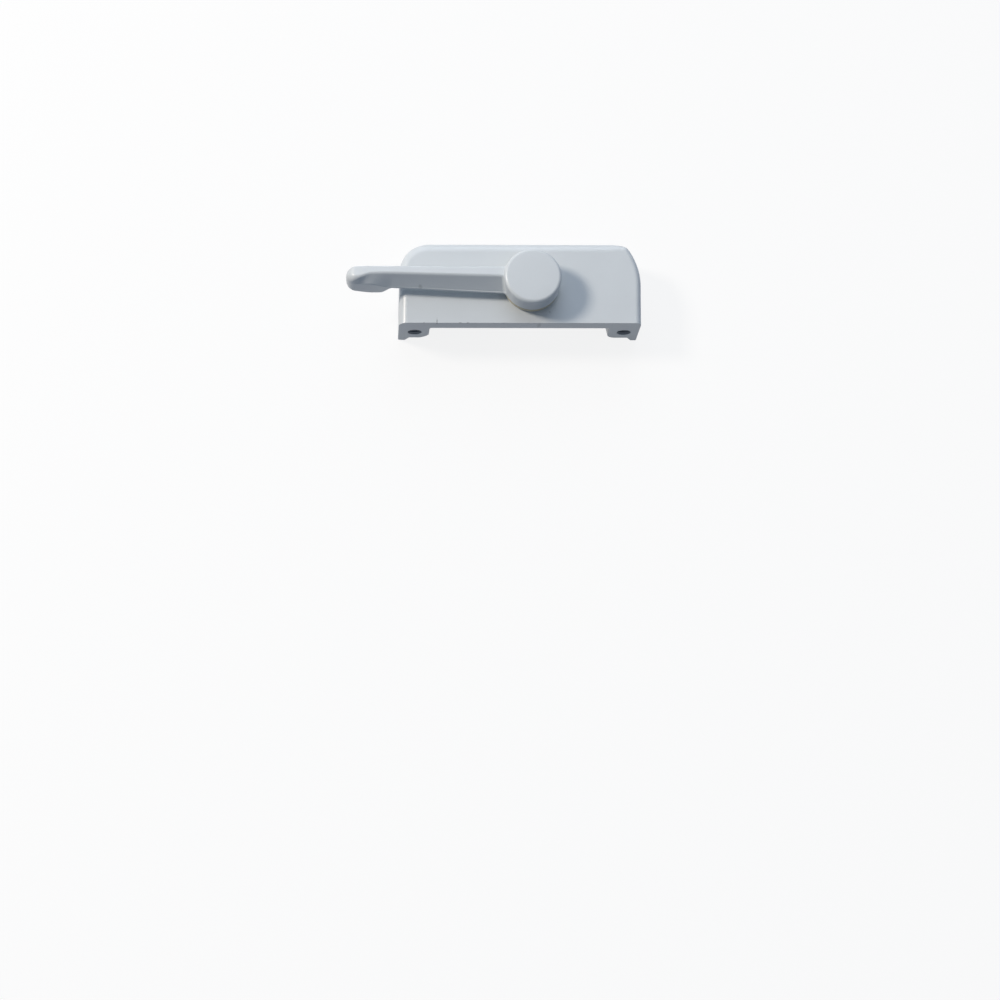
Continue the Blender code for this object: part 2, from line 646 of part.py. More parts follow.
bm = bmesh.new()
mid = WAVE_BOTTOM + WAVE_HEIGHT
sides = []
for radius, level in (
    (SLEEVE_BORE, mid),
    (WAVE_OUTER / 2, mid),
    (WAVE_OUTER / 2, mid + WAVE_THICKNESS),
    (SLEEVE_BORE, mid + WAVE_THICKNESS),
):
    sides.append([bm.verts.new(point) for point in wave_ring(radius, level)])
for i, ring in enumerate(sides):
    beside = sides[(i + 1) % 4]
    for j, corner in enumerate(ring):
        after = (j + 1) % len(ring)
        bm.faces.new((corner, ring[after], beside[after], beside[j]))
add_object("wave_washer", bm, SPRING_STEEL)


# Cam: a hub with detent flats over a hooked plate, with the square hole of the drive.
def lobe_radius(angle):
    """The plate's edge: round about the hub, out to the lobe over a steep rear flank, and
    back over a long engaging edge at the front."""
    foot = CAM_FOOT_DIAMETER / 2
    rear = 1 - smooth(LOBE_REAR_ANGLE - math.radians(5), LOBE_REAR_ANGLE + math.radians(12), angle)
    nose = smooth(LOBE_FRONT_ANGLE - math.radians(6), LOBE_FRONT_ANGLE + math.radians(8), angle)
    engage = smooth(LOBE_FRONT_ANGLE, 0, angle)
    out = mix(foot + 0.62 * (CAM_REACH - foot), CAM_REACH, engage)
    return mix(foot, out, rear * nose)


plate_outline = []
for degrees in [*range(-180, -34, 8), *range(-33, 44, 2), *range(48, 180, 8)]:
    angle = math.radians(degrees)
    radius = lobe_radius(angle)
    plate_outline.append((radius * math.cos(angle), radius * math.sin(angle)))
plate = prism(plate_outline, CAM_BOTTOM, CAM_HUB_BOTTOM)
cam = add_object("cam", plate, DIE_CAST)
cam_edge = cam.modifiers.new("plate_edge", "BEVEL")
cam_edge.limit_method = "ANGLE"
cam_edge.angle_limit = math.radians(60)
cam_edge.width = CAM_EDGE
cam_edge.segments = 1
cam_hub = add_object(
    "cam_hub_form", rod(CAM_HUB_DIAMETER / 2, CAM_HUB_BOTTOM - SEAT_LAP, CAM_TOP, 48)
)
for name, turned in (("rest_flat", 0.0), ("locked_flat", TURN)):
    near = CAM_HUB_DIAMETER / 2 - CAM_FLAT
    span = CAM_HUB_DIAMETER
    flat_bm = box(-span, span, near, near + span, CAM_HUB_BOTTOM + CAM_EDGE / 2, CAM_TOP + WALL)
    bmesh.ops.rotate(flat_bm, cent=(0, 0, 0), matrix=Matrix.Rotation(turned, 3, "Z"), verts=flat_bm.verts)
    flat = add_object(name + "_cutter", flat_bm)
    boolean(cam_hub, "DIFFERENCE", flat)
boolean(cam, "UNION", cam_hub)
hole_half = DRIVE_SQUARE / 2 + GAP
square_hole = add_object(
    "square_hole_cutter",
    box(-hole_half, hole_half, -hole_half, hole_half, CAM_BOTTOM - WALL, CAM_TOP + WALL),
)
boolean(cam, "DIFFERENCE", square_hole)
carried(cam)


# Cam washer and the screw that holds the cam on the spindle.
cam_washer = add_object(
    "cam_washer",
    revolve(
        [
            (SCREW_DIAMETER / 2 + GAP, CAM_WASHER_BOTTOM),
            (CAM_WASHER_DIAMETER / 2, CAM_WASHER_BOTTOM),
            (CAM_WASHER_DIAMETER / 2, CAM_WASHER_TOP),
            (SCREW_DIAMETER / 2 + GAP, CAM_WASHER_TOP),
        ],
        48,
    ),
    ZINC_PLATE,
)
carried(cam_washer)
head = SCREW_HEAD_DIAMETER / 2
screw = add_object(
    "retaining_screw",
    revolve(
        [
            (0, SCREW_HEAD_BOTTOM),
            (head * 0.7, SCREW_HEAD_BOTTOM),
            (head * 0.93, SCREW_HEAD_BOTTOM + SCREW_HEAD_HEIGHT * 0.25),
            (head, SCREW_HEAD_BOTTOM + SCREW_HEAD_HEIGHT * 0.6),
            (head, SCREW_HEAD_TOP),
            (SCREW_DIAMETER / 2, SCREW_HEAD_TOP),
            (SCREW_DIAMETER / 2, SCREW_HEAD_TOP + SCREW_LENGTH),
            (0, SCREW_HEAD_TOP + SCREW_LENGTH),
        ],
        36,
    ),
    ZINC_PLATE,
)
slot_floor = SCREW_HEAD_BOTTOM + SCREW_HEAD_HEIGHT * 0.55
slot = add_object(
    "screw_slot_cutter",
    box(-head * 1.2, head * 1.2, -SCREW_SLOT / 2, SCREW_SLOT / 2, SCREW_HEAD_BOTTOM - WALL, slot_floor),
)
boolean(screw, "DIFFERENCE", slot)
carried(screw)


# Detent spring: a bowed leaf that rubs on the cam's hub, its ends held in the two posts.
def leaf_side(offset, steps=20):
    """One face of the leaf in plan, straight in the slots and bowed between the posts."""
    side = []
    for i in range(steps + 1):
        x = mix(-LEAF_SPAN / 2, LEAF_SPAN / 2, i / steps)
        reach = min(abs(x) / (LEAF_SPAN / 2 - POST_WIDTH / 2), 1)
        side.append((x, LEAF_FACE + LEAF_BOW * smooth(0, 1, reach) + offset))
    return side


leaf_outline = leaf_side(0) + leaf_side(LEAF_THICKNESS)[::-1]
add_object(
    "detent_spring",
    prism(leaf_outline, LEAF_BOTTOM, LEAF_BOTTOM + LEAF_HEIGHT),
    SPRING_STEEL,
)
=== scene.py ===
import math

import bpy
import numpy as np
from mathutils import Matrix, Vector


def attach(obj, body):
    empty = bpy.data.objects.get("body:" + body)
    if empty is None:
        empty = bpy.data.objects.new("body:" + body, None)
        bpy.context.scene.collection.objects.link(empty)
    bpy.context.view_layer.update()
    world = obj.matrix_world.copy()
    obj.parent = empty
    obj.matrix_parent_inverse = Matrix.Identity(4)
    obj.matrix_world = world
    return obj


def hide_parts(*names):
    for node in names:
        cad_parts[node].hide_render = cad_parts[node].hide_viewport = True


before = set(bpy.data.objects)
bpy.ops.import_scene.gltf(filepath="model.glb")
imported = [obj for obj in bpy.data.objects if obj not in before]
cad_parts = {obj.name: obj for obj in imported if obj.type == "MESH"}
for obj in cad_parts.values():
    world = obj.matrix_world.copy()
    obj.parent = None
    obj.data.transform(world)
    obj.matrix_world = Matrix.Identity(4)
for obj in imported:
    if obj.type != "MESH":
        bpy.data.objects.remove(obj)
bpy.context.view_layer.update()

# ---- Housing ----
# The lock's body, a hollow zinc die casting open below, with a notch across its front, a screw
# boss at each end of it and a raised pad round the pivot. It is tumbled, then given a cool
# white baked paint that is a little glossy and rounds every edge slightly.

MM = 0.001
PIVOT = np.array([11.55, -1.3475, 0.0]) * MM  # the turning axis, which every piece is drawn about
ON_AXIS = 0.01 * MM  # stands for radius 0 in a turned profile, so that no face collapses
LEFT, RIGHT = -41.8 * MM, 35.2 * MM  # the housing's ends, from the pivot
FRONT, BACK = -12.4025 * MM, 15.0975 * MM
MIDDLE = (LEFT + RIGHT) / 2
HALF_LENGTH = (RIGHT - LEFT) / 2
TOP = 16.0 * MM
CEILING = 13.4 * MM
WALL = 2.2 * MM
NOTCH_TOP = 11.3 * MM
LAP = 0.4 * MM  # how far a cast feature runs into the wall behind it


def arc(x, y, radius, start, end, steps):
    """Points (x, y) at equal angles, in degrees, on a circle about the given centre."""
    turn = np.radians(np.linspace(start, end, steps + 1))
    return np.stack([x + radius * np.cos(turn), y + radius * np.sin(turn)], axis=-1)


def smooth(low, high, value):
    """0 below low, 1 above high, and 3t^2 - 2t^3 between."""
    t = np.clip((value - low) / (high - low), 0, 1)
    return t * t * (3 - 2 * t)


def mix(a, b, t):
    """a at t = 0, b at t = 1, straight between."""
    return a + (b - a) * t


def skin(name, rings, closed=False):
    """A body through a grid of rings x points: quads between each ring and the next, every ring
    a loop, with a face over the first and the last, or the last joined to the first. All its
    faces look outwards."""
    rings = np.asarray(rings, dtype=float)
    count, around = rings.shape[:2]
    points = rings.reshape(-1, 3)
    corner = np.arange(count * around).reshape(count, around)
    low = corner if closed else corner[:-1]
    high = np.roll(corner, -1, axis=0) if closed else corner[1:]
    quads = np.stack(
        [low, np.roll(low, -1, axis=1), np.roll(high, -1, axis=1), high], axis=-1
    ).reshape(-1, 4)
    faces = quads.tolist()
    if not closed:
        faces += [corner[0, ::-1].tolist(), corner[-1].tolist()]
    mesh = bpy.data.meshes.new(name)
    mesh.from_pydata((points + PIVOT).tolist(), [], faces)
    first, second, last = (points[quads[:, i]] for i in (0, 1, 3))
    volume = (first * np.cross(second - first, last - first)).sum()
    if volume < 0:
        mesh.flip_normals()
    mesh.validate()
    made = bpy.data.objects.new(name, mesh)
    bpy.context.scene.collection.objects.link(made)
    return made


def turned(name, profile, segments=96):
    """A profile of (radius, height) carried round the pivot axis: x = r cos a, y = r sin a."""
    profile = np.asarray(profile, dtype=float)
    turn = np.linspace(0, 2 * np.pi, segments, endpoint=False)
    radius = profile[:, :1]
    rings = np.stack(
        [radius * np.cos(turn), radius * np.sin(turn), np.repeat(profile[:, 1:], segments, 1)],
        axis=-1,
    )
    return skin(name, rings, closed=profile[0, 0] > ON_AXIS)


def block(name, x0, x1, y0, y1, z0, z1):
    """A box given by its six sides, as a skin through two rectangles."""
    loop = np.array([(x0, y0), (x1, y0), (x1, y1), (x0, y1)])
    return skin(name, [np.column_stack([loop, np.full(4, z)]) for z in (z0, z1)])


def combine(body, operation, tool):
    """Cuts the tool out of the body or joins it on, and puts the tool away."""
    step = body.modifiers.new(tool.name, "BOOLEAN")
    step.operation = operation
    step.solver = "EXACT"
    step.object = tool
    settled = bpy.data.meshes.new_from_object(
        body.evaluated_get(bpy.context.evaluated_depsgraph_get())
    )
    settled.name = body.name
    body.modifiers.clear()
    body.data = settled
    bpy.data.objects.remove(tool, do_unlink=True)


def shade(obj, sharp=32):
    """Smooth faces, creased where they meet at more than the sharp angle, with each corner's
    normal weighted towards its larger faces so that the flats stay flat."""
    obj.data.shade_smooth()
    obj.data.set_sharp_from_angle(angle=math.radians(sharp))
    weighted = obj.modifiers.new("weighted_normals", "WEIGHTED_NORMAL")
    weighted.keep_sharp = True


LEFT_CORNER, LEFT_LEAN, RIGHT_LEAN = 9.6 * MM, 0.45 * MM, 0.4 * MM
SHOULDER, SHOULDER_LENGTH = 18.0 * MM, 10.4 * MM  # right rear corner: two arcs and a knuckle
FLANK, FLANK_START, KNUCKLE = 20.6 * MM, 13.8 * MM, 3.2 * MM
SIDE_FILLET, BACK_FILLET, CEILING_FILLET = 2.0 * MM, 3.8 * MM, 1.0 * MM
LEFT_EXTRA = 0.8 * MM  # how much wider the fillet is at the left end
KNUCKLE_LESS, KNUCKLE_SPREAD = 0.32, 5.5 * MM  # the share it loses at the knuckle, and how far
FOOT_ROUND, FRONT_EDGE = 0.9 * MM, 0.3 * MM
FOOT_SHARE, FOOT_FULL = 0.45, 0.7  # of the foot's round on the back, and -nx where it is whole


def footprint(inset=0.0, front=0.0):
    """The wall's plan from the front left round the back to the front right: four arcs joined
    by straight walls, as x, y and the outward normal, moved in along that normal by inset. The
    knuckle touches the shoulder's and the flank's arc from inside, so its centre stands at
    their radii less its own from their centres."""
    ax, ay = RIGHT - SHOULDER_LENGTH, BACK - SHOULDER
    bx, by = RIGHT - FLANK, FRONT + FLANK_START
    ra, rb = SHOULDER - KNUCKLE, FLANK - KNUCKLE
    apart = math.hypot(bx - ax, by - ay)
    along = (ra * ra - rb * rb + apart * apart) / (2 * apart)
    off = math.sqrt(ra * ra - along * along)
    ux, uy = (bx - ax) / apart, (by - ay) / apart
    kx, ky = max(
        (ax + ux * along - uy * off, ay + uy * along + ux * off),
        (ax + ux * along + uy * off, ay + uy * along - ux * off),
        key=sum,
    )
    shoulder = math.degrees(math.atan2(ky - ay, kx - ax))
    flank = math.degrees(math.atan2(ky - by, kx - bx))
    turns = [
        (LEFT + LEFT_LEAN + LEFT_CORNER, BACK - LEFT_CORNER, LEFT_CORNER, 180, 90, 36, 0),
        (ax, ay, SHOULDER, 90, shoulder, 16, 0),
        (kx, ky, KNUCKLE, shoulder, flank, 14, 1),
        (bx, by, FLANK, flank, 0, 18, 0),
    ]
    rows = [np.array([[LEFT + inset, FRONT + front, -1.0, 0.0]])]
    for cx, cy, radius, start, end, steps, skip in turns:
        normal = arc(0, 0, 1, start, end, steps)[skip:]
        rows.append(np.hstack([normal * (radius - inset) + (cx, cy), normal]))
    rows.append(np.array([[RIGHT - RIGHT_LEAN - inset, FRONT + front, 1.0, 0.0]]))
    return np.vstack(rows)


def shell_rings(plan, low, high, side, rear, steps, foot=0.0):
    """Rings up a wall. A fillet, wider at the rear and the left and less at the knuckle, turns
    it in to a flat top, and a smaller one of radius foot, whole on the left only, rounds its
    lower edge: in = r (1 - cos t), up = r (1 - sin t)."""
    x, y, nx, ny = plan.T

    def ring(inward, z):
        return np.stack([x - nx * inward, y - ny * inward, z + np.zeros_like(x)], 1)

    rings = []
    if foot:
        radius = foot * mix(FOOT_SHARE, 1.0, smooth(0, FOOT_FULL, -nx))
        for t in np.radians(np.linspace(90, 0, 6)):
            rings.append(ring(radius * (1 - np.cos(t)), low + radius * (1 - np.sin(t))))
    else:
        rings.append(ring(0, low))
    fillet = mix(side + LEFT_EXTRA * np.maximum(-nx, 0), rear, np.maximum(ny, 0) ** 2)
    knuckle = np.argmax(np.minimum(nx, ny))
    away = np.hypot(x - x[knuckle], y - y[knuckle])
    fillet = fillet * (1 - KNUCKLE_LESS * np.exp(-((away / KNUCKLE_SPREAD) ** 2)))
    for t in np.radians(np.linspace(0, 90, steps + 1)):
        rings.append(ring(fillet * (1 - np.cos(t)), high - fillet * (1 - np.sin(t))))
    return rings


housing = skin(
    "housing_shell",
    shell_rings(footprint(), 0, TOP, SIDE_FILLET, BACK_FILLET, 14, FOOT_ROUND),
)

# A small bevel round the open front: edges in the front plane that run up an end, where x
# changes little, or along the top.
NEAR, UPRIGHT = 0.01 * MM, 1.0 * MM
shape = housing.data
where = np.empty(len(shape.vertices) * 3)
shape.vertices.foreach_get("co", where)
where = where.reshape(-1, 3) - PIVOT
ends = np.empty(len(shape.edges) * 2, dtype=int)
shape.edges.foreach_get("vertices", ends)
first, second = where[ends[0::2]], where[ends[1::2]]
in_front = (np.abs(first[:, 1] - FRONT) < NEAR) & (np.abs(second[:, 1] - FRONT) < NEAR)
on_outline = (np.abs(first[:, 0] - second[:, 0]) < UPRIGHT) | (
    np.minimum(first[:, 2], second[:, 2]) > TOP - NEAR
)
weight = shape.attributes.new("bevel_weight_edge", "FLOAT", "EDGE")
weight.data.foreach_set("value", (in_front & on_outline).astype(np.float32))
rounded = housing.modifiers.new("front_edge", "BEVEL")
rounded.limit_method = "WEIGHT"
rounded.width = FRONT_EDGE
rounded.segments = 3

# The hollow and the notch, less the two bosses, which therefore stay solid.
BOSS_WIDTH, BOSS_TAPER, BOSS_DEPTH = 9.7 * MM, 1.8 * MM, 9.0 * MM
BOSS_LIFT, BOSS_RAMP, RIGHT_EXTRA = 2.4 * MM, 1.3 * MM, 0.4 * MM
JOIN_FILLET = 0.9 * MM  # where a boss runs up into the strip over the notch
hollow = skin(
    "hollow",
    shell_rings(footprint(WALL, WALL), -2 * WALL, CEILING, CEILING_FILLET, CEILING_FILLET, 6),
)
combine(
    hollow,
    "UNION",
    block("notch", LEFT + WALL, RIGHT - WALL, FRONT - WALL, FRONT + 2 * WALL, -WALL, NOTCH_TOP),
)
# Each boss's lower inner corner is the curve |x|^p + |z|^p = r^p: p = 2 is a round, 1 a chamfer.
for side, extra, bend, power in ((-1, 0.0, 3.0 * MM, 1.4), (1, RIGHT_EXTRA, 2.4 * MM, 1.8)):
    outer = MIDDLE + side * (HALF_LENGTH + WALL)
    foot = MIDDLE + side * (HALF_LENGTH - WALL + BOSS_RAMP * LAP / BOSS_LIFT)
    ramp = MIDDLE + side * (HALF_LENGTH - WALL - BOSS_RAMP)
    rings = []
    for y, wider in ((FRONT - 2 * WALL, 0), (FRONT, 0), (FRONT + BOSS_DEPTH, BOSS_TAPER)):
        inner = MIDDLE + side * (HALF_LENGTH - BOSS_WIDTH - extra - wider)
        turn = np.radians(np.linspace(0, 90, 11))
        corner = np.stack(
            [
                inner + side * bend * (1 - np.sin(turn) ** (2 / power)),
                BOSS_LIFT + bend * (1 - np.cos(turn) ** (2 / power)),
            ],
            1,
        )
        join = arc(
            inner - side * JOIN_FILLET, NOTCH_TOP - JOIN_FILLET, JOIN_FILLET, 90 - 90 * side, 90, 6
        )
        outline = np.vstack(
            [
                [(outer, TOP), (outer, -LAP), (foot, -LAP), (ramp, BOSS_LIFT)],
                corner,
                join,
                [(inner - side * JOIN_FILLET, TOP)],
            ]
        )
        rings.append(np.stack([outline[:, 0], np.full(len(outline), y), outline[:, 1]], 1))
    combine(hollow, "DIFFERENCE", skin("boss", rings))
combine(housing, "DIFFERENCE", hollow)

# Screw holes for No. 8 screws, tapped: the cutter's radius follows the thread's pitch and opens
# into a small chamfer at the mouth.
HOLE_RADIUS, HOLE_HEIGHT, SCREW_INSET = 2.2 * MM, 7.3 * MM, 5.15 * MM
THREAD_PITCH, THREAD_DEPTH, MOUTH = 0.794 * MM, 0.22 * MM, 0.12 * MM
for side in (-1, 1):
    centre = MIDDLE + side * (HALF_LENGTH - SCREW_INSET)
    y = np.linspace(FRONT - WALL, FRONT + BOSS_DEPTH + WALL, 120)
    wave = np.abs(((y - FRONT) / THREAD_PITCH) % 1 * 2 - 1)
    radius = HOLE_RADIUS - THREAD_DEPTH * wave
    radius = np.maximum(radius, HOLE_RADIUS + MOUTH - np.abs(y - FRONT))
    turn = np.linspace(0, 2 * np.pi, 56, endpoint=False)
    rings = np.stack(
        [
            centre + radius[:, None] * np.cos(turn),
            np.repeat(y[:, None], len(turn), 1),
            HOLE_HEIGHT + radius[:, None] * np.sin(turn),
        ],
        axis=-1,
    )
    combine(housing, "DIFFERENCE", skin("screw_hole", rings))

# The collar round the pivot bore, a pad above the top and a boss below the ceiling. The top is
# opened first, wide enough to take it.
BORE, PAD, PAD_TOP, PAD_EDGE = 5.6 * MM, 8.5 * MM, 16.3 * MM, 0.15 * MM
INNER_BOSS, INNER_BOSS_BOTTOM, INNER_BOSS_EDGE = 8.0 * MM, 12.6 * MM, 0.3 * MM
OPENING, OPENING_LOW, OPENING_HIGH = 6.8 * MM, 11.0 * MM, 18.0 * MM
combine(
    housing,
    "DIFFERENCE",
    turned(
        "opening",
        [
            (ON_AXIS, OPENING_LOW),
            (OPENING, OPENING_LOW),
            (OPENING, OPENING_HIGH),
            (ON_AXIS, OPENING_HIGH),
        ],
    ),
)
combine(
    housing,
    "UNION",
    turned(
        "collar",
        np.vstack(
            [
                [(BORE, INNER_BOSS_BOTTOM), (INNER_BOSS - INNER_BOSS_EDGE, INNER_BOSS_BOTTOM)],
                [(INNER_BOSS, INNER_BOSS_BOTTOM + INNER_BOSS_EDGE), (INNER_BOSS, CEILING + LAP)],
                [(PAD, TOP - LAP)],
                arc(PAD - PAD_EDGE, PAD_TOP - PAD_EDGE, PAD_EDGE, 0, 90, 3),
                [(BORE, PAD_TOP)],
            ]
        ),
        128,
    ),
)

# Features cast under the top: the two slotted posts that hold the leaf spring, the stops that
# the cam's lobe meets at each end of its turn, and a rib behind each boss.
INNER_BACK = BACK - WALL
LEAF_SPAN, LEAF_END, LEAF_THICKNESS, LEAF_BOTTOM = 31.0 * MM, 9.45 * MM, 0.5 * MM, 8.2 * MM
LEAF_HEIGHT, GAP = 2.8 * MM, 0.3 * MM
POST, POST_BOTTOM, POST_FRONT = 2.0 * MM, 7.9 * MM, 2.15 * MM  # POST is half its width
SLOT_LENGTH, SLOT_BOTTOM = 3.0 * MM, 5.0 * MM
for side in (-1, 1):
    end = side * LEAF_SPAN / 2
    post = block(
        "post",
        end - POST,
        end + POST,
        LEAF_END - POST_FRONT,
        INNER_BACK + LAP,
        POST_BOTTOM,
        CEILING + LAP,
    )
    slot = sorted((end - side * SLOT_LENGTH, end + side * GAP))
    combine(
        post,
        "DIFFERENCE",
        block(
            "slot",
            *slot,
            LEAF_END - LEAF_THICKNESS / 2 - GAP,
            LEAF_END + LEAF_THICKNESS / 2 + GAP,
            SLOT_BOTTOM,
            LEAF_BOTTOM + LEAF_HEIGHT + GAP,
        ),
    )
    combine(housing, "UNION", post)
# In degrees: the lobe's front side at rest, its turn and the play left before the stop.
LOBE_FRONT, TURN, STOP_PLAY = -25.0, 135.0, 1.0
STOP_RADIUS, STOP, STOP_BOTTOM, STOP_EDGE = 18.0 * MM, 1.6 * MM, 3.9 * MM, 0.25 * MM
met_at = math.radians(LOBE_FRONT - TURN - STOP_PLAY) - math.asin(STOP / STOP_RADIUS)
stop_x, stop_y = STOP_RADIUS * math.cos(met_at), STOP_RADIUS * math.sin(met_at)
stop_rings = [
    np.column_stack([arc(stop_x, stop_y, radius, 0, 350, 35), np.full(36, z)])
    for radius, z in (
        (STOP - STOP_EDGE, STOP_BOTTOM),
        (STOP, STOP_BOTTOM + STOP_EDGE),
        (STOP, CEILING + LAP),
    )
]
combine(housing, "UNION", skin("turn_stop", stop_rings))
REST_STOP_LEFT, REST_STOP_RIGHT, REST_STOP_FRONT = 16.45 * MM, 20.45 * MM, 10.95 * MM
combine(
    housing,
    "UNION",
    block(
        "rest_stop",
        REST_STOP_LEFT,
        REST_STOP_RIGHT,
        REST_STOP_FRONT,
        INNER_BACK + LAP,
        STOP_BOTTOM,
        CEILING + LAP,
    ),
)
RIB, RIB_INSET, RIB_BOTTOM = 0.8 * MM, 1.6 * MM, 11.05 * MM  # RIB is half its thickness
for side in (-1, 1):
    centre = MIDDLE + side * (HALF_LENGTH - BOSS_WIDTH - BOSS_TAPER + RIB_INSET)
    rib = block(
        "rib",
        centre - RIB,
        centre + RIB,
        FRONT + BOSS_DEPTH - LAP,
        INNER_BACK + LAP,
        RIB_BOTTOM,
        CEILING + LAP,
    )
    combine(housing, "UNION", rib)
shade(housing)


def linear(code):
    """An sRGB hex value as linear RGBA."""
    value = np.array([int(code[i : i + 2], 16) for i in (1, 3, 5)]) / 255
    value = np.where(value <= 0.04045, value / 12.92, ((value + 0.055) / 1.055) ** 2.4)
    return (*value.tolist(), 1.0)


def add(tree, kind, settings=None, **links):
    """Adds a node. A setting names an input by its name or number, or a property; a link gives
    an input, by name or as i0, i1, the output (node, name) that feeds it."""
    made = tree.nodes.new("ShaderNode" + kind)
    for name, value in (settings or {}).items():
        if isinstance(name, int) or name in made.inputs:
            made.inputs[name].default_value = value
        else:
            setattr(made, name, value)
    for name, (source, output) in links.items():
        key = int(name[1:]) if name[0] == "i" and name[1:].isdigit() else name.replace("_", " ")
        tree.links.new(source.outputs[output], made.inputs[key])
    return made


def new_material(name, **shader):
    """A material with its Principled shader's own sockets set. It returns the material, its
    tree, the shader and the Object coordinates that its patterns read."""
    made = bpy.data.materials.new(name)
    made.use_nodes = True
    tree = made.node_tree
    principled = tree.nodes["Principled BSDF"]
    for socket, value in shader.items():
        principled.inputs[socket.replace("_", " ")].default_value = value
    return made, tree, principled, add(tree, "TexCoord")


def tones(tree, pattern, dark, light):
    """A Mix node that blends two colours by a pattern's Fac. Its sockets 6 and 7 are the two
    colours and its output 2 is the blend."""
    return add(
        tree,
        "Mix",
        {"data_type": "RGBA", 6: linear(dark), 7: linear(light)},
        Factor=(pattern, "Fac"),
    )


MARK_EDGE = 1.5  # where a mark ends: distance in half sizes plus a noise of about 0.5


def paint(name, marks_and_shade=(), bore_shade_and_zinc=()):
    """Baked white paint on a tumbled zinc casting. Its skin has a slight orange peel, 1.5 mm
    from crest to crest, a film that varies a little in shade and gloss over 10 mm or so, and
    fine dust nibs. Each mark is a smudge, a nick or a line of grime and painted shade: where
    it is, its half sizes along x, y and z, how much it covers, how soft its edge is and its
    colour. Each bore is a box, centre and half sizes, in which the walls of a tapped hole are
    painted darker, for the bare zinc of the thread and for painted shade inside the hole."""
    made, tree, shader, at = new_material(name, IOR=1.5, Metallic=0.0)
    film = add(
        tree, "TexNoise", {"Scale": 90.0, "Detail": 3.0, "Roughness": 0.55}, Vector=(at, "Object")
    )
    nibs = add(tree, "TexNoise", {"Scale": 2600.0, "Detail": 2.0}, Vector=(at, "Object"))
    peel = add(tree, "TexNoise", {"Scale": 650.0, "Detail": 1.5}, Vector=(at, "Object"))
    speck = add(tree, "MapRange", {"From Min": 0.70, "From Max": 0.78}, Value=(nibs, "Fac"))
    dust = add(tree, "Math", {"operation": "MULTIPLY", 1: 0.1}, i0=(speck, "Result"))
    covers = [(dust, "#8E9296")]
    for spot, size, dark, soft, code in marks_and_shade:
        centre, half = (np.array(spot) * MM + PIVOT).tolist(), (np.array(size) * MM).tolist()
        away = add(tree, "VectorMath", {"operation": "SUBTRACT", 1: centre}, i0=(at, "Object"))
        away = add(tree, "VectorMath", {"operation": "DIVIDE", 1: half}, i0=(away, 0))
        ragged = add(tree, "TexNoise", {"Scale": 1500.0, "Detail": 2.0}, Vector=(at, "Object"))
        reach = add(tree, "VectorMath", {"operation": "LENGTH"}, i0=(away, 0))
        reach = add(tree, "Math", {"operation": "ADD"}, i0=(reach, "Value"), i1=(ragged, "Fac"))
        cover = add(
            tree,
            "MapRange",
            {"From Min": MARK_EDGE, "From Max": MARK_EDGE - soft, "To Min": 0.0, "To Max": dark},
            Value=(reach, 0),
        )
        covers.append((cover, code))
    for centre, half in bore_shade_and_zinc:
        away = add(tree, "VectorMath", {"operation": "SUBTRACT", 1: centre}, i0=(at, "Object"))
        away = add(tree, "VectorMath", {"operation": "DIVIDE", 1: half}, i0=(away, 0))
        away = add(tree, "VectorMath", {"operation": "ABSOLUTE"}, i0=(away, 0))
        reach = add(tree, "SeparateXYZ", Vector=(away, 0))
        most = add(tree, "Math", {"operation": "MAXIMUM"}, i0=(reach, "X"), i1=(reach, "Y"))
        most = add(tree, "Math", {"operation": "MAXIMUM"}, i0=(most, 0), i1=(reach, "Z"))
        # Inside each box the walls take a darker colour: painted shade inside the hole, and the bare
        # zinc of the thread.
        inside = add(tree, "Math", {"operation": "LESS_THAN", 1: 1.0}, i0=(most, 0))
        covers.append((inside, "#838A94"))
    colour = tones(tree, film, "#CCD1D4", "#D4D9DC")
    for cover, code in covers:
        colour = add(
            tree,
            "Mix",
            {"data_type": "RGBA", 7: linear(code)},
            Factor=(cover, 0),
            i6=(colour, 2),
        )
    tree.links.new(colour.outputs[2], shader.inputs["Base Color"])
    gloss = add(tree, "MapRange", {"To Min": 0.25, "To Max": 0.37}, Value=(film, "Fac"))
    tree.links.new(gloss.outputs[0], shader.inputs["Roughness"])
    edges = add(tree, "Bevel", {"Radius": 0.14 * MM, "samples": 6})
    waves = add(
        tree,
        "Bump",
        {"Strength": 0.35, "Distance": 0.012 * MM},
        Height=(peel, "Fac"),
        Normal=(edges, "Normal"),
    )
    tree.links.new(waves.outputs[0], shader.inputs["Normal"])
    return made


# The nick in the top's front edge and the smaller ones beside it, a darker line along the
# whole front edge that is grime and painted shade of the sharp edge, the mark on the strip
# over the notch and a spot in front of the hub. Places are in mm from the pivot.
housing_marks_and_shade = [
    ((-29.85, -12.3, 15.9), (0.16, 1.9, 1.2), 0.85, 0.6, "#5E6366"),
    ((-33.9, -12.4, 15.9), (0.4, 0.5, 0.3), 0.55, 0.8, "#6E7376"),
    ((-22.6, -12.4, 15.9), (0.6, 0.4, 0.3), 0.80, 0.8, "#6E7376"),
    ((-20.2, -12.4, 15.9), (0.7, 0.4, 0.3), 0.80, 0.8, "#6E7376"),
    # A darker line along the whole front edge: grime, and painted shade of the sharp edge that dulls
    # its highlight.
    ((-3.3, -12.5, 15.8), (60.0, 0.3, 0.35), 0.30, 0.9, "#6A7074"),
    ((2.4, -12.4, 13.9), (0.9, 0.4, 2.2), 0.45, 0.9, "#60666A"),
    ((5.8, -8.7, 16.0), (0.45, 0.45, 0.3), 0.45, 0.9, "#8A8E90"),
]
BORE_ROOM, BORE_SHORT = 0.2 * MM, 0.1 * MM  # wider than the thread, short of the boss's faces
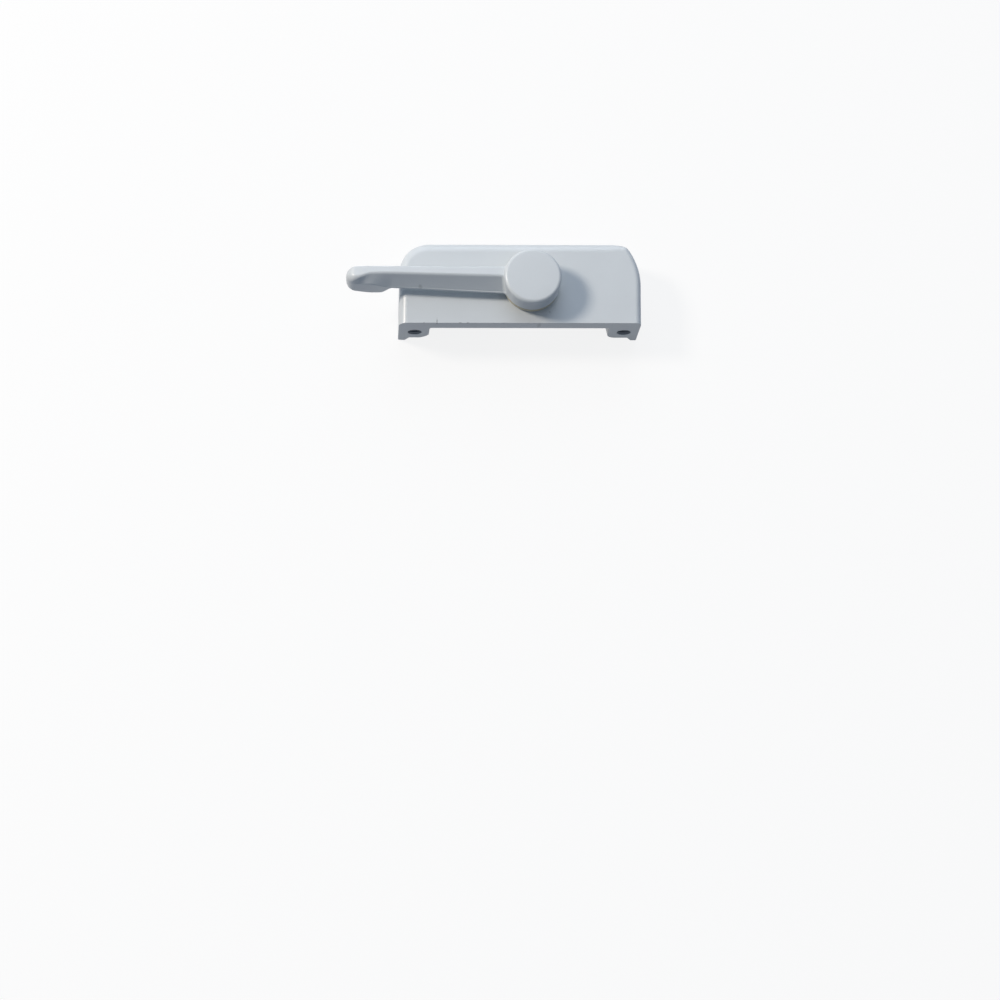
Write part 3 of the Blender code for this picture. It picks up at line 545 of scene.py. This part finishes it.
# Boxes round the screw holes, in which the walls are painted darker: painted shade inside the hole,
# and the bare zinc of the thread.
housing_bore_shade_and_zinc = []
for side in (-1, 1):
    centre = (MIDDLE + side * (HALF_LENGTH - SCREW_INSET), FRONT + BOSS_DEPTH / 2, HOLE_HEIGHT)
    half = (HOLE_RADIUS + BORE_ROOM, BOSS_DEPTH / 2 - BORE_SHORT, HOLE_RADIUS + BORE_ROOM)
    housing_bore_shade_and_zinc.append(((PIVOT + centre).tolist(), half))
housing.data.materials.clear()
housing.data.materials.append(paint("baked_white_paint_on_zinc", housing_marks_and_shade, housing_bore_shade_and_zinc))
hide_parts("housing")
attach(housing, "housing_body")


# ---- Pivot bushing ----
# A moulded nylon sleeve in the casting's bore, whose flange keeps the hub off the painted pad.
# Natural nylon is a warm, slightly waxy beige; it shows as a dark ring in the hub's shadow.

SLEEVE_BORE, SLEEVE, FLANGE = 4.4 * MM, 5.3 * MM, 8.8 * MM
SLEEVE_BOTTOM, FLANGE_BOTTOM, FLANGE_TOP = 12.9 * MM, 16.6 * MM, 18.3 * MM
MOULD_EDGE = 0.15 * MM
bushing = turned(
    "pivot_flange",
    np.vstack(
        [
            [(SLEEVE_BORE, SLEEVE_BOTTOM), (SLEEVE - MOULD_EDGE, SLEEVE_BOTTOM)],
            [(SLEEVE, SLEEVE_BOTTOM + MOULD_EDGE), (SLEEVE, FLANGE_BOTTOM)],
            arc(FLANGE - MOULD_EDGE, FLANGE_BOTTOM + MOULD_EDGE, MOULD_EDGE, -90, 0, 3),
            arc(FLANGE - MOULD_EDGE, FLANGE_TOP - MOULD_EDGE, MOULD_EDGE, 0, 90, 3),
            [(SLEEVE_BORE + MOULD_EDGE, FLANGE_TOP), (SLEEVE_BORE, FLANGE_TOP - MOULD_EDGE)],
        ]
    ),
    128,
)
shade(bushing, 50)


def surface(tree, shader, pattern, colours, rough, relief, strength, depth):
    """Wires a finish: the pattern's Fac blends the two colours and runs the roughness between
    two values, and the relief, an output (node, name), raises the surface by the depth."""
    tint = tones(tree, pattern, *colours)
    tree.links.new(tint.outputs[2], shader.inputs["Base Color"])
    gloss = add(tree, "MapRange", {"To Min": rough[0], "To Max": rough[1]}, Value=(pattern, "Fac"))
    tree.links.new(gloss.outputs[0], shader.inputs["Roughness"])
    bump = add(tree, "Bump", {"Strength": strength, "Distance": depth}, Height=relief)
    tree.links.new(bump.outputs[0], shader.inputs["Normal"])


nylon, tree, shader, at = new_material(
    "moulded_natural_nylon", IOR=1.53, Metallic=0.0, Subsurface_Weight=0.08, Subsurface_Scale=0.0005
)
cloud = add(tree, "TexNoise", {"Scale": 400.0, "Detail": 3.0}, Vector=(at, "Object"))
# Spark-eroded mould texture, 0.15 mm grain, drawn at 0.3 mm so that it can show.
grain = add(tree, "TexNoise", {"Scale": 3300.0, "Detail": 2.0}, Vector=(at, "Object"))
surface(
    tree, shader, cloud, ("#B3AB95", "#C1B9A3"), (0.44, 0.58), (grain, "Fac"), 0.3, 0.01 * MM
)
bushing.data.materials.append(nylon)
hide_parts("pivot_bushing")
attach(bushing, "housing_body")


# ---- Wave washer ----
# A thin ring of spring steel stamped into three waves. It takes up the play between the casting
# and the cam. Bare rolled strip: dark grey, with a fine roll grain.

WAVE_MID, WAVE_LIFT, WAVE_STRIP, WAVE_OUTER = 11.7 * MM, 0.2 * MM, 0.4 * MM, 7.2 * MM
WAVE_EDGE, WAVES = 0.06 * MM, 3


def strip_section(left, right, height, edge):
    """A strip's rectangle on the line height 0, its four corners cut by the edge."""
    return [
        (left + edge, 0.0),
        (right - edge, 0.0),
        (right, edge),
        (right, height - edge),
        (right - edge, height),
        (left + edge, height),
        (left, height - edge),
        (left, edge),
    ]


turn = np.linspace(0, 2 * np.pi, 120, endpoint=False)
ripple = WAVE_MID + WAVE_LIFT * np.sin(WAVES * turn)
wave = skin(
    "spring_ring",
    [
        np.stack([r * np.cos(turn), r * np.sin(turn), ripple + h], 1)
        for r, h in strip_section(SLEEVE_BORE, WAVE_OUTER, WAVE_STRIP, WAVE_EDGE)
    ],
    closed=True,
)
shade(wave, 50)


def rolled_steel(name, scale):
    """Hard rolled strip steel. Fine lines along one way break up the highlight; the other two
    scales stretch the noise into them. 0.02 mm lines, drawn at 0.15 mm so that they can show."""
    made, tree, shader, at = new_material(name, Metallic=1.0)
    along = add(tree, "Mapping", {"Scale": scale}, Vector=(at, "Object"))
    lines = add(tree, "TexNoise", {"Scale": 1.0, "Detail": 3.0}, Vector=(along, "Vector"))
    surface(
        tree, shader, lines, ("#8C8E91", "#A5A6A8"), (0.24, 0.42), (lines, "Fac"), 0.25, 0.01 * MM
    )
    return made


wave.data.materials.append(rolled_steel("rolled_spring_steel", (300.0, 6000.0, 6000.0)))
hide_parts("wave_washer")
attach(wave, "housing_body")


# ---- Detent spring ----
# A bowed leaf of the same strip, its ends in the slots of the two posts. It presses on the flats
# of the cam's hub and holds the lever at either end of its turn.

LEAF_FACE, LEAF_BOW, LEAF_EDGE = 7.3 * MM, 1.9 * MM, 0.08 * MM
x = np.linspace(-LEAF_SPAN / 2, LEAF_SPAN / 2, 81)
bow = LEAF_FACE + LEAF_BOW * smooth(0, 1, np.minimum(np.abs(x) / (LEAF_SPAN / 2 - POST), 1))
leaf = skin(
    "leaf_spring",
    np.stack(
        [
            np.stack([x, bow + out, np.full_like(x, LEAF_BOTTOM + up)], 1)
            for out, up in strip_section(0.0, LEAF_THICKNESS, LEAF_HEIGHT, LEAF_EDGE)
        ],
        axis=1,
    ),
)
shade(leaf, 50)
leaf.data.materials.append(rolled_steel("rolled_spring_steel_leaf", (400.0, 6000.0, 6000.0)))
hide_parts("detent_spring")
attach(leaf, "housing_body")


# ---- Handle ----
# Hub, arm, drop grip and spindle in one zinc casting, painted like the housing. The arm has a
# flat land on top, a slanting front face for the finger with a thin worn lip below, and swells
# round the hub's side where the two meet.

HUB, HUB_BOTTOM, HUB_TOP, HUB_EDGE, HUB_DOME = 9.0 * MM, 18.6 * MM, 25.6 * MM, 1.1 * MM, 0.1 * MM
HUB_FOOT_EDGE, SPINDLE, CAM_TOP = 0.3 * MM, 4.1 * MM, 11.2 * MM
DRIVE, DRIVE_CORNER, SPINDLE_END = 2.85 * MM, 0.5 * MM, 3.9 * MM
# The hub's face falls by HUB_DOME to its edge, with the fourth power of the radius.
face = np.linspace(ON_AXIS, HUB - HUB_EDGE, 12)
lever = turned(
    "lever_handle",
    np.vstack(
        [
            np.stack([face, HUB_TOP - HUB_DOME * (face / (HUB - HUB_EDGE)) ** 4], 1),
            arc(HUB - HUB_EDGE, HUB_TOP - HUB_DOME - HUB_EDGE, HUB_EDGE, 90, 0, 14)[1:],
            arc(HUB - HUB_FOOT_EDGE, HUB_BOTTOM + HUB_FOOT_EDGE, HUB_FOOT_EDGE, 0, -90, 5),
            [(SPINDLE, HUB_BOTTOM), (SPINDLE, CAM_TOP + GAP), (ON_AXIS, CAM_TOP + GAP)],
        ]
    ),
    180,
)

REACH, GRIP_LENGTH, GRIP_DROP = 58.3 * MM, 14.4 * MM, 4.6 * MM
GRIP_SLOPE, SLOPE_POWER = 4.4 * MM, 1.5  # the slope down into the grip
ARM_BACK, LAND_AT_HUB, LAND_AT_GRIP, LAND_DROP = 3.7 * MM, 3.4 * MM, 2.6 * MM, 1.4 * MM
LAND_TILT, LAND_LEAST = 0.25 * MM, 0.05 * MM
FRONT_AT_HUB, FRONT_AT_GRIP, REAR_EDGE = 3.75 * MM, 1.9 * MM, 0.7 * MM
LAND_EDGE, TIP_EDGE, TIP_EDGE_END, FACE_SAG = 1.1 * MM, 2.6 * MM, 5.0 * MM, 0.01 * MM
LIP, LIP_FAR, LIP_IN_GRIP, LIP_AT_TIP = 0.6 * MM, 0.9 * MM, 2.9 * MM, 1.5 * MM  # its heights
LIP_AT_HUB, LIP_AT_GRIP = 0.9 * MM, 0.25 * MM  # its widths
LIP_ROUND, LIP_FADE = 1.1 * MM, 8.0 * MM
LIP_WORN = 0.75  # how far the lip along the arm is rounded over: 0 a crisp step, 1 one round
FACE_FILLET, FILLET_MOST, FILLET_REACH, ROOT = 0.6 * MM, 0.8, 0.9, 0.8 * MM
GRIP_EDGE, GRIP_RELIEF, SCOOP_END = 1.1 * MM, 0.25 * MM, 8.4 * MM
TIP, TIP_RISE, TIP_SETBACK, TIP_FALL, FALL_START = 2.9 * MM, 0.9 * MM, 0.4 * MM, 1.0 * MM, 7.5 * MM
TIP_OPEN = 1.01  # keeps the last ring from shrinking to a point
LENGTH = REACH - HUB


def arm_rings(s):
    """The arm's outline at each distance s from the hub's side, as rings of (x, y, z). Every
    outline is the same chain: rear foot, rear edge of the land, front edge of the land, the
    slanting face a + (b - a) t less its sag 4 t (1 - t), the fillet at its foot, the lip and
    the front foot. In the grip the lip gives way to one round, and towards the tip the top
    falls and the face runs out into a wide round. Near the hub x follows its round side:
    x = -R - s + (R - sqrt(R^2 - y^2)) w."""
    s = np.asarray(s, dtype=float)[:, None]
    to_tip = LENGTH - s
    root = np.maximum(ROOT - np.maximum(s, 0), 0)
    flare = ROOT - np.sqrt(ROOT**2 - root**2)
    in_grip = 1 - smooth(GRIP_LENGTH - GRIP_SLOPE, GRIP_LENGTH, to_tip) ** SLOPE_POWER
    scoop = smooth(0, SCOOP_END, to_tip)
    along = np.clip(s / (LENGTH - GRIP_LENGTH), 0, 1)
    low = HUB_BOTTOM - GRIP_DROP * in_grip + TIP_RISE * (1 - scoop)
    top = HUB_TOP - LAND_DROP - TIP_FALL * (np.maximum(FALL_START - to_tip, 0) / FALL_START) ** 2
    back = ARM_BACK + flare
    front = -mix(FRONT_AT_HUB, FRONT_AT_GRIP, along) - flare + TIP_SETBACK * (1 - scoop)
    soft = 1 - (1 - LIP_WORN) * smooth(GRIP_LENGTH - LIP_FADE, GRIP_LENGTH, to_tip)
    rise = (soft - LIP_WORN) / (1 - LIP_WORN)
    lip = mix(mix(LIP, LIP_FAR, along), mix(LIP_AT_TIP, LIP_IN_GRIP, scoop), rise)
    lip = HUB_BOTTOM + lip + flare
    brow = front + GRIP_RELIEF * rise
    foot = brow + mix(LIP_AT_HUB, LIP_AT_GRIP, along) * (1 - soft)
    land = ARM_BACK - mix(LAND_AT_HUB, LAND_AT_GRIP, along) - flare
    land = mix(foot + LAND_LEAST, land, scoop)
    lean = np.arctan2(top - lip, land - foot)
    edge = mix(TIP_EDGE, LAND_EDGE, smooth(0, TIP_EDGE_END, to_tip))
    under = mix(REAR_EDGE / 2, GRIP_EDGE, in_grip)
    rim = np.minimum(REAR_EDGE / 2, foot - brow)

    def turn(cy, cz, radius, start, sweep, steps):
        angle = start + sweep * np.linspace(0, 1, steps + 1)[None, :]
        return cy + radius * np.cos(angle), cz + radius * np.sin(angle)

    quarter = math.pi / 2
    round_y, round_z = turn(land + edge * np.tan(lean / 2), top - edge, edge, quarter, lean, 12)
    down = (top - lip) / np.sin(lean) - edge * np.tan(lean / 2)  # length of the straight face
    fillet = np.minimum(FACE_FILLET, (foot - brow) * FILLET_MOST)
    blunt = LIP_ROUND * np.tan((quarter - lean) / 2)  # from the corner to the round's ends
    t = np.linspace(0, 1, 8)[None, 1:]
    reach = t * (down - mix(fillet, blunt, soft))
    sag = FACE_SAG * scoop * 4 * t * (1 - t)
    face_y = round_y[:, -1:] - reach * np.cos(lean) + sag * np.sin(lean)
    face_z = round_z[:, -1:] - reach * np.sin(lean) - sag * np.cos(lean)
    # The fillet is a curve through three points: the face's end, the corner and the lip.
    t = np.linspace(0, 1, 6)[None, 1:-1]
    over = foot - fillet * FILLET_REACH
    ease_y = (1 - t) ** 2 * face_y[:, -1:] + 2 * t * (1 - t) * foot + t**2 * over
    ease_z = (1 - t) ** 2 * face_z[:, -1:] + 2 * t * (1 - t) * lip + t**2 * lip
    rim_y, rim_z = turn(brow + rim, lip - rim, rim, quarter, quarter, 5)
    blunt_y, blunt_z = turn(
        brow + LIP_ROUND, lip - blunt, LIP_ROUND, quarter + lean, quarter - lean, 9
    )
    lip_y = mix(np.hstack([ease_y, rim_y]), blunt_y, soft)
    lip_z = mix(np.hstack([ease_z, rim_z]), blunt_z, soft)
    parts = [
        turn(back - under, low + under, under, -quarter, quarter, 7),
        turn(back - REAR_EDGE, top - REAR_EDGE - LAND_TILT, REAR_EDGE, 0, quarter, 8),
        (round_y, round_z),
        (face_y, face_z),
        (lip_y, lip_z),
        turn(front + under, low + under, under, 2 * quarter, quarter, 7),
    ]
    y = np.hstack([part[0] for part in parts])
    z = np.hstack([part[1] for part in parts])
    closing = TIP - np.sqrt(np.maximum(TIP**2 - np.maximum(TIP - to_tip, 0) ** 2, 0))
    middle_y, middle_z = (back + front) / 2, (top + low) / 2
    narrow = 1 - closing / np.maximum((back - front) / 2, TIP * TIP_OPEN)
    short = 1 - closing / np.maximum((top - low) / 2, TIP * TIP_OPEN)
    y = middle_y + (y - middle_y) * narrow
    z = middle_z + (z - middle_z) * short
    wrap = 1 - smooth(0, HUB, s)
    bulge = HUB - np.sqrt(np.maximum(HUB**2 - y**2, 0))
    return np.stack([-HUB - s + bulge * wrap, y, z], axis=-1)


JUST_INSIDE = 0.02 * MM  # the last ring within the hub
CROWDING = 1.6  # the rings of the root fillet crowd towards the hub by this power
stations = np.concatenate(
    [
        [-ROOT, -JUST_INSIDE],
        ROOT * np.linspace(0.02, 1, 12) ** CROWDING,
        np.linspace(ROOT, LENGTH - GRIP_LENGTH, 24)[1:],
        LENGTH - GRIP_LENGTH + GRIP_SLOPE * np.linspace(0, 1, 12)[1:],
        np.linspace(LENGTH - GRIP_LENGTH + GRIP_SLOPE, LENGTH - TIP, 20)[1:],
        LENGTH - TIP * (1 - np.sin(np.radians(np.linspace(0, 90, 14)[1:]))),
    ]
)
combine(lever, "UNION", skin("arm", arm_rings(stations)))
square = DRIVE - DRIVE_CORNER
loop = np.vstack(
    [
        arc(sx * square, sy * square, DRIVE_CORNER, start, start + 90, 6)
        for sx, sy, start in ((1, 1, 0), (-1, 1, 90), (-1, -1, 180), (1, -1, 270))
    ]
)
combine(
    lever,
    "UNION",
    skin(
        "drive",
        [np.column_stack([loop, np.full(len(loop), z)]) for z in (SPINDLE_END, CAM_TOP + GAP + LAP)],
    ),
)
TAPPING, TAPPING_LOW, TAPPING_HIGH = 2.0 * MM, 1.0 * MM, 9.0 * MM
combine(
    lever,
    "DIFFERENCE",
    turned(
        "tapping",
        [
            (ON_AXIS, TAPPING_LOW),
            (TAPPING, TAPPING_LOW),
            (TAPPING, TAPPING_HIGH),
            (ON_AXIS, TAPPING_HIGH),
        ],
        48,
    ),
)
shade(lever, 40)
lever.data.materials.clear()
lever.data.materials.append(
    paint(
        "baked_white_paint_on_lever",
        [((-35.1, -1.75, 20.0), (0.8, 1.2, 1.1), 0.42, 1.0, "#4F565C")],
    )
)
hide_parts("handle")
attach(lever, "handle_body")


# ---- Cam ----
# A zinc die casting on the spindle's square end: a hub with two flats for the leaf spring over a
# plate with a hooked lobe. It isn't painted, only tumbled, so it is a soft mottled grey metal.

CAM_HUB, CAM_FLAT, CAM_HUB_BOTTOM, CAM_BOTTOM = 7.0 * MM, 0.6 * MM, 7.6 * MM, 3.6 * MM
CAM_FOOT, CAM_REACH, CAM_EDGE = 8.0 * MM, 21.3 * MM, 0.4 * MM
CAM_BORE_EDGE, CAM_HUB_EDGE = 0.2 * MM, 0.3 * MM
LOBE_REAR, LOBE_SHARE = 29.0, 0.62  # the lobe's rear side, and its reach at the front side
REAR_IN, REAR_OUT, NOSE_IN, NOSE_OUT = 5, 12, 8, 6  # degrees over which each side runs out
turn = np.linspace(-180, 180, 360, endpoint=False)
rear = 1 - smooth(LOBE_REAR - REAR_IN, LOBE_REAR + REAR_OUT, turn)
nose = smooth(LOBE_FRONT - NOSE_OUT, LOBE_FRONT + NOSE_IN, turn)
out = mix(CAM_FOOT + LOBE_SHARE * (CAM_REACH - CAM_FOOT), CAM_REACH, smooth(LOBE_FRONT, 0, turn))
plate = mix(CAM_FOOT, out, rear * nose)
to_flat = np.minimum(np.abs(turn - 90), np.abs((turn - 90 - TURN + 180) % 360 - 180))
flat = (CAM_HUB - CAM_FLAT) / np.cos(np.radians(np.minimum(to_flat, 60)))
hub = np.minimum(CAM_HUB, flat)
hole = DRIVE + GAP
square = hole / np.maximum(np.abs(np.cos(np.radians(turn))), np.abs(np.sin(np.radians(turn))))
# From the bore out along the underside, up the plate's rim, in along its top and up the hub.
levels = [(square, CAM_BOTTOM + CAM_BORE_EDGE), (square + CAM_BORE_EDGE, CAM_BOTTOM)]
levels += [(mix(square + CAM_BORE_EDGE, plate - CAM_EDGE, t), CAM_BOTTOM) for t in (0.5, 1.0)]
levels += [
    (plate - CAM_EDGE * (1 - math.sin(t)), CAM_BOTTOM + CAM_EDGE * (1 - math.cos(t)))
    for t in np.radians([30, 60, 90])
]
levels += [
    (plate - CAM_EDGE * (1 - math.cos(t)), CAM_HUB_BOTTOM - CAM_EDGE * (1 - math.sin(t)))
    for t in np.radians([0, 30, 60, 90])
]
levels += [
    (hub + CAM_HUB_EDGE * (1 - math.sin(t)), CAM_HUB_BOTTOM + CAM_HUB_EDGE * (1 - math.cos(t)))
    for t in np.radians([0, 45, 90])
]
levels += [
    (hub - CAM_HUB_EDGE * (1 - math.cos(t)), CAM_TOP - CAM_HUB_EDGE * (1 - math.sin(t)))
    for t in np.radians([0, 45, 90])
]
levels += [(square + CAM_BORE_EDGE, CAM_TOP), (square, CAM_TOP - CAM_BORE_EDGE)]
cosine, sine = np.cos(np.radians(turn)), np.sin(np.radians(turn))
cam = skin(
    "cam_hook",
    [np.stack([r * cosine, r * sine, np.full_like(turn, z)], 1) for r, z in levels],
    closed=True,
)
shade(cam, 40)
zinc, tree, shader, at = new_material("tumbled_zinc_casting", Metallic=1.0)
mottle = add(tree, "TexNoise", {"Scale": 500.0, "Detail": 4.0}, Vector=(at, "Object"))
# Tumbling leaves dents about 0.4 mm across.
dents = add(tree, "TexVoronoi", {"Scale": 2500.0}, Vector=(at, "Object"))
surface(
    tree, shader, mottle, ("#A6A8AA", "#BFC0C2"), (0.38, 0.58), (dents, "Distance"), 0.3, 0.02 * MM
)
cam.data.materials.append(zinc)
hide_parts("cam")
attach(cam, "handle_body")


# ---- Cam washer and retaining screw ----
# A plain washer and a slotted pan-head screw, both zinc-plated steel: bright, faintly blue, with
# the fine rings of turning on the screw's head.

WASHER_BORE, WASHER, WASHER_EDGE = 2.0 * MM, 5.5 * MM, 0.1 * MM
WASHER_BOTTOM, WASHER_TOP = 2.5 * MM, 3.3 * MM
cam_washer = turned(
    "washer",
    [
        (WASHER_BORE, WASHER_BOTTOM),
        (WASHER - WASHER_EDGE, WASHER_BOTTOM),
        (WASHER, WASHER_BOTTOM + WASHER_EDGE),
        (WASHER, WASHER_TOP - WASHER_EDGE),
        (WASHER - WASHER_EDGE, WASHER_TOP),
        (WASHER_BORE, WASHER_TOP),
    ],
)
shade(cam_washer, 30)
SCREW, HEAD, HEAD_TOP, HEAD_BOTTOM = 1.7 * MM, 3.8 * MM, 2.2 * MM, 0.5 * MM
HEAD_RIM, DOME_ANGLE, DOME_SHARE = 0.4 * MM, 68, 0.995  # the domed part, just inside the rim
SCREW_PITCH, SCREW_THREAD, THREAD_FROM, THREAD_TO = 0.7 * MM, 0.3 * MM, 0.1 * MM, 5.9 * MM
SCREW_LENGTH, SCREW_POINT = 6.2 * MM, 0.7  # below the head's rim, and the end's share
SLOT, SLOT_DEPTH, SLOT_REACH = 0.45 * MM, 0.9 * MM, 5.0 * MM  # SLOT is half its width
height = HEAD_TOP - HEAD_BOTTOM
up = np.linspace(HEAD_TOP + THREAD_FROM, HEAD_TOP + THREAD_TO, 60)
thread = SCREW - SCREW_THREAD * np.abs(((up - HEAD_TOP) / SCREW_PITCH) % 1 * 2 - 1)
dome = np.radians(np.linspace(0, DOME_ANGLE, 12))
dome_radius = HEAD * DOME_SHARE * np.sin(dome) / math.sin(dome[-1])
screw = turned(
    "cam_screw",
    np.vstack(
        [
            [(ON_AXIS, HEAD_BOTTOM)],
            np.stack([dome_radius, HEAD_TOP - height * np.cos(dome)], 1)[1:],
            [(HEAD, HEAD_TOP - HEAD_RIM), (HEAD, HEAD_TOP), (SCREW, HEAD_TOP)],
            np.stack([thread, up], 1),
            [(SCREW * SCREW_POINT, HEAD_TOP + SCREW_LENGTH), (ON_AXIS, HEAD_TOP + SCREW_LENGTH)],
        ]
    ),
    72,
)
combine(
    screw,
    "DIFFERENCE",
    block("slot", -SLOT_REACH, SLOT_REACH, -SLOT, SLOT, -1 * MM, HEAD_BOTTOM + SLOT_DEPTH),
)
shade(screw, 35)


def plated(name):
    """Bright zinc plate on turned steel, with a faint blue passivation. The rings of turning
    about the axis, a tenth of a millimetre apart, are drawn at 0.5 mm so that they can show."""
    made, tree, shader, at = new_material(name, Metallic=1.0)
    centred = add(tree, "Mapping", {"Location": (-PIVOT).tolist()}, Vector=(at, "Object"))
    rings = add(
        tree,
        "TexWave",
        {"wave_type": "RINGS", "rings_direction": "Z", "Scale": 640.0, "Distortion": 0.6},
        Vector=(centred, "Vector"),
    )
    cloud = add(tree, "TexNoise", {"Scale": 600.0, "Detail": 3.0}, Vector=(at, "Object"))
    surface(
        tree, shader, cloud, ("#B4B9BE", "#CDCFCC"), (0.22, 0.38), (rings, "Fac"), 0.15, 0.01 * MM
    )
    return made


cam_washer.data.materials.append(plated("zinc_plated_washer"))
screw.data.materials.clear()
screw.data.materials.append(plated("zinc_plated_screw"))
for piece, replaced in ((cam_washer, "cam_washer"), (screw, "retaining_screw")):
    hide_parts(replaced)
    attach(piece, "handle_body")


# ---- Studio ----
# A plain pale floor under the open rim, one small warm lamp from the left and a little behind,
# two broad cool ones behind, high and low, and a dim cool surround. The floor and the surround
# are near white to the camera and in reflections, and darker as light on the lock.

HALF_FLOOR, FLOOR_DROP = 3.0, 0.02 * MM


def seen_directly(tree):
    """1 for rays from the camera, from a reflection or through glass, 0 for all others."""
    path = add(tree, "LightPath")
    seen = (path, "Is Camera Ray")
    for ray in ("Is Glossy Ray", "Is Transmission Ray"):
        seen = (add(tree, "Math", {"operation": "MAXIMUM"}, i0=seen, i1=(path, ray)), 0)
    return seen


floor = bpy.data.objects.new("floor", bpy.data.meshes.new("floor"))
bpy.context.scene.collection.objects.link(floor)
corners = [(sx * HALF_FLOOR, sy * HALF_FLOOR, 0) for sx, sy in ((-1, -1), (1, -1), (1, 1), (-1, 1))]
floor.data.from_pydata(corners, [], [(0, 1, 2, 3)])
floor.location = (0, 0, -FLOOR_DROP)
board = bpy.data.materials.new("pale_board")
board.use_nodes = True
tree = board.node_tree
tree.nodes.clear()
grey = add(tree, "BsdfDiffuse", {"Color": linear("#818995")})
pale = add(tree, "BsdfDiffuse", {"Color": linear("#F6F6F6")})
white = add(tree, "Emission", {"Color": (1, 1, 1, 1), "Strength": 1.0})
shown = add(tree, "MixShader", {0: 0.86}, i1=(pale, 0), i2=(white, 0))
final = add(tree, "MixShader", i0=seen_directly(tree), i1=(grey, 0), i2=(shown, 0))
add(tree, "OutputMaterial", Surface=(final, 0))
floor.data.materials.append(board)


def lamp(name, place, size, watts, code):
    """A square area lamp at a place, in metres, that points at the origin."""
    data = bpy.data.lights.new(name, "AREA")
    data.size = size
    data.energy = watts
    data.color = linear(code)[:3]
    made = bpy.data.objects.new(name, data)
    bpy.context.scene.collection.objects.link(made)
    made.location = place
    made.rotation_euler = Vector(place).to_track_quat("Z", "Y").to_euler()


KEY_WAY, KEY_DISTANCE = np.array([-9.9, 3.5, 9.3]), 1.2
KEY_WAY = KEY_WAY / np.linalg.norm(KEY_WAY)
lamp("key", (KEY_WAY * KEY_DISTANCE).tolist(), 0.24, 9.9, "#FFF5E8")
lamp("rear_sky", (0.0, 1.414, 1.414), 2.0, 13.6, "#E8F2FF")
lamp("rear_low", (0.0, 1.902, 0.618), 1.4, 8.3, "#E8F2FF")
world = bpy.data.worlds.new("studio")
bpy.context.scene.world = world
world.use_nodes = True
tree = world.node_tree
tree.nodes.clear()
around = add(tree, "Background", {"Color": linear("#717C8A"), "Strength": 1.0})
white = add(tree, "Background", {"Color": (1, 1, 1, 1), "Strength": 1.0})
final = add(tree, "MixShader", i0=seen_directly(tree), i1=(around, 0), i2=(white, 0))
add(tree, "OutputWorld", Surface=(final, 0))

# The photograph's own view, from the fit of a pinhole camera: in metres and degrees.
CAMERA_PLACE, CAMERA_TURN = (-0.0467452, -0.2598380, 0.6936536), (15.5753, -3.6398, -1.1925)
camera = bpy.data.objects.new("camera", bpy.data.cameras.new("camera"))
bpy.context.scene.collection.objects.link(camera)
camera.data.sensor_width = 36.0
camera.data.lens = 82.5
camera.data.clip_start, camera.data.clip_end = 0.01, 20.0
camera.location = CAMERA_PLACE
camera.rotation_euler = [math.radians(a) for a in CAMERA_TURN]
bpy.context.scene.camera = camera
bpy.context.scene.view_settings.view_transform = "Standard"
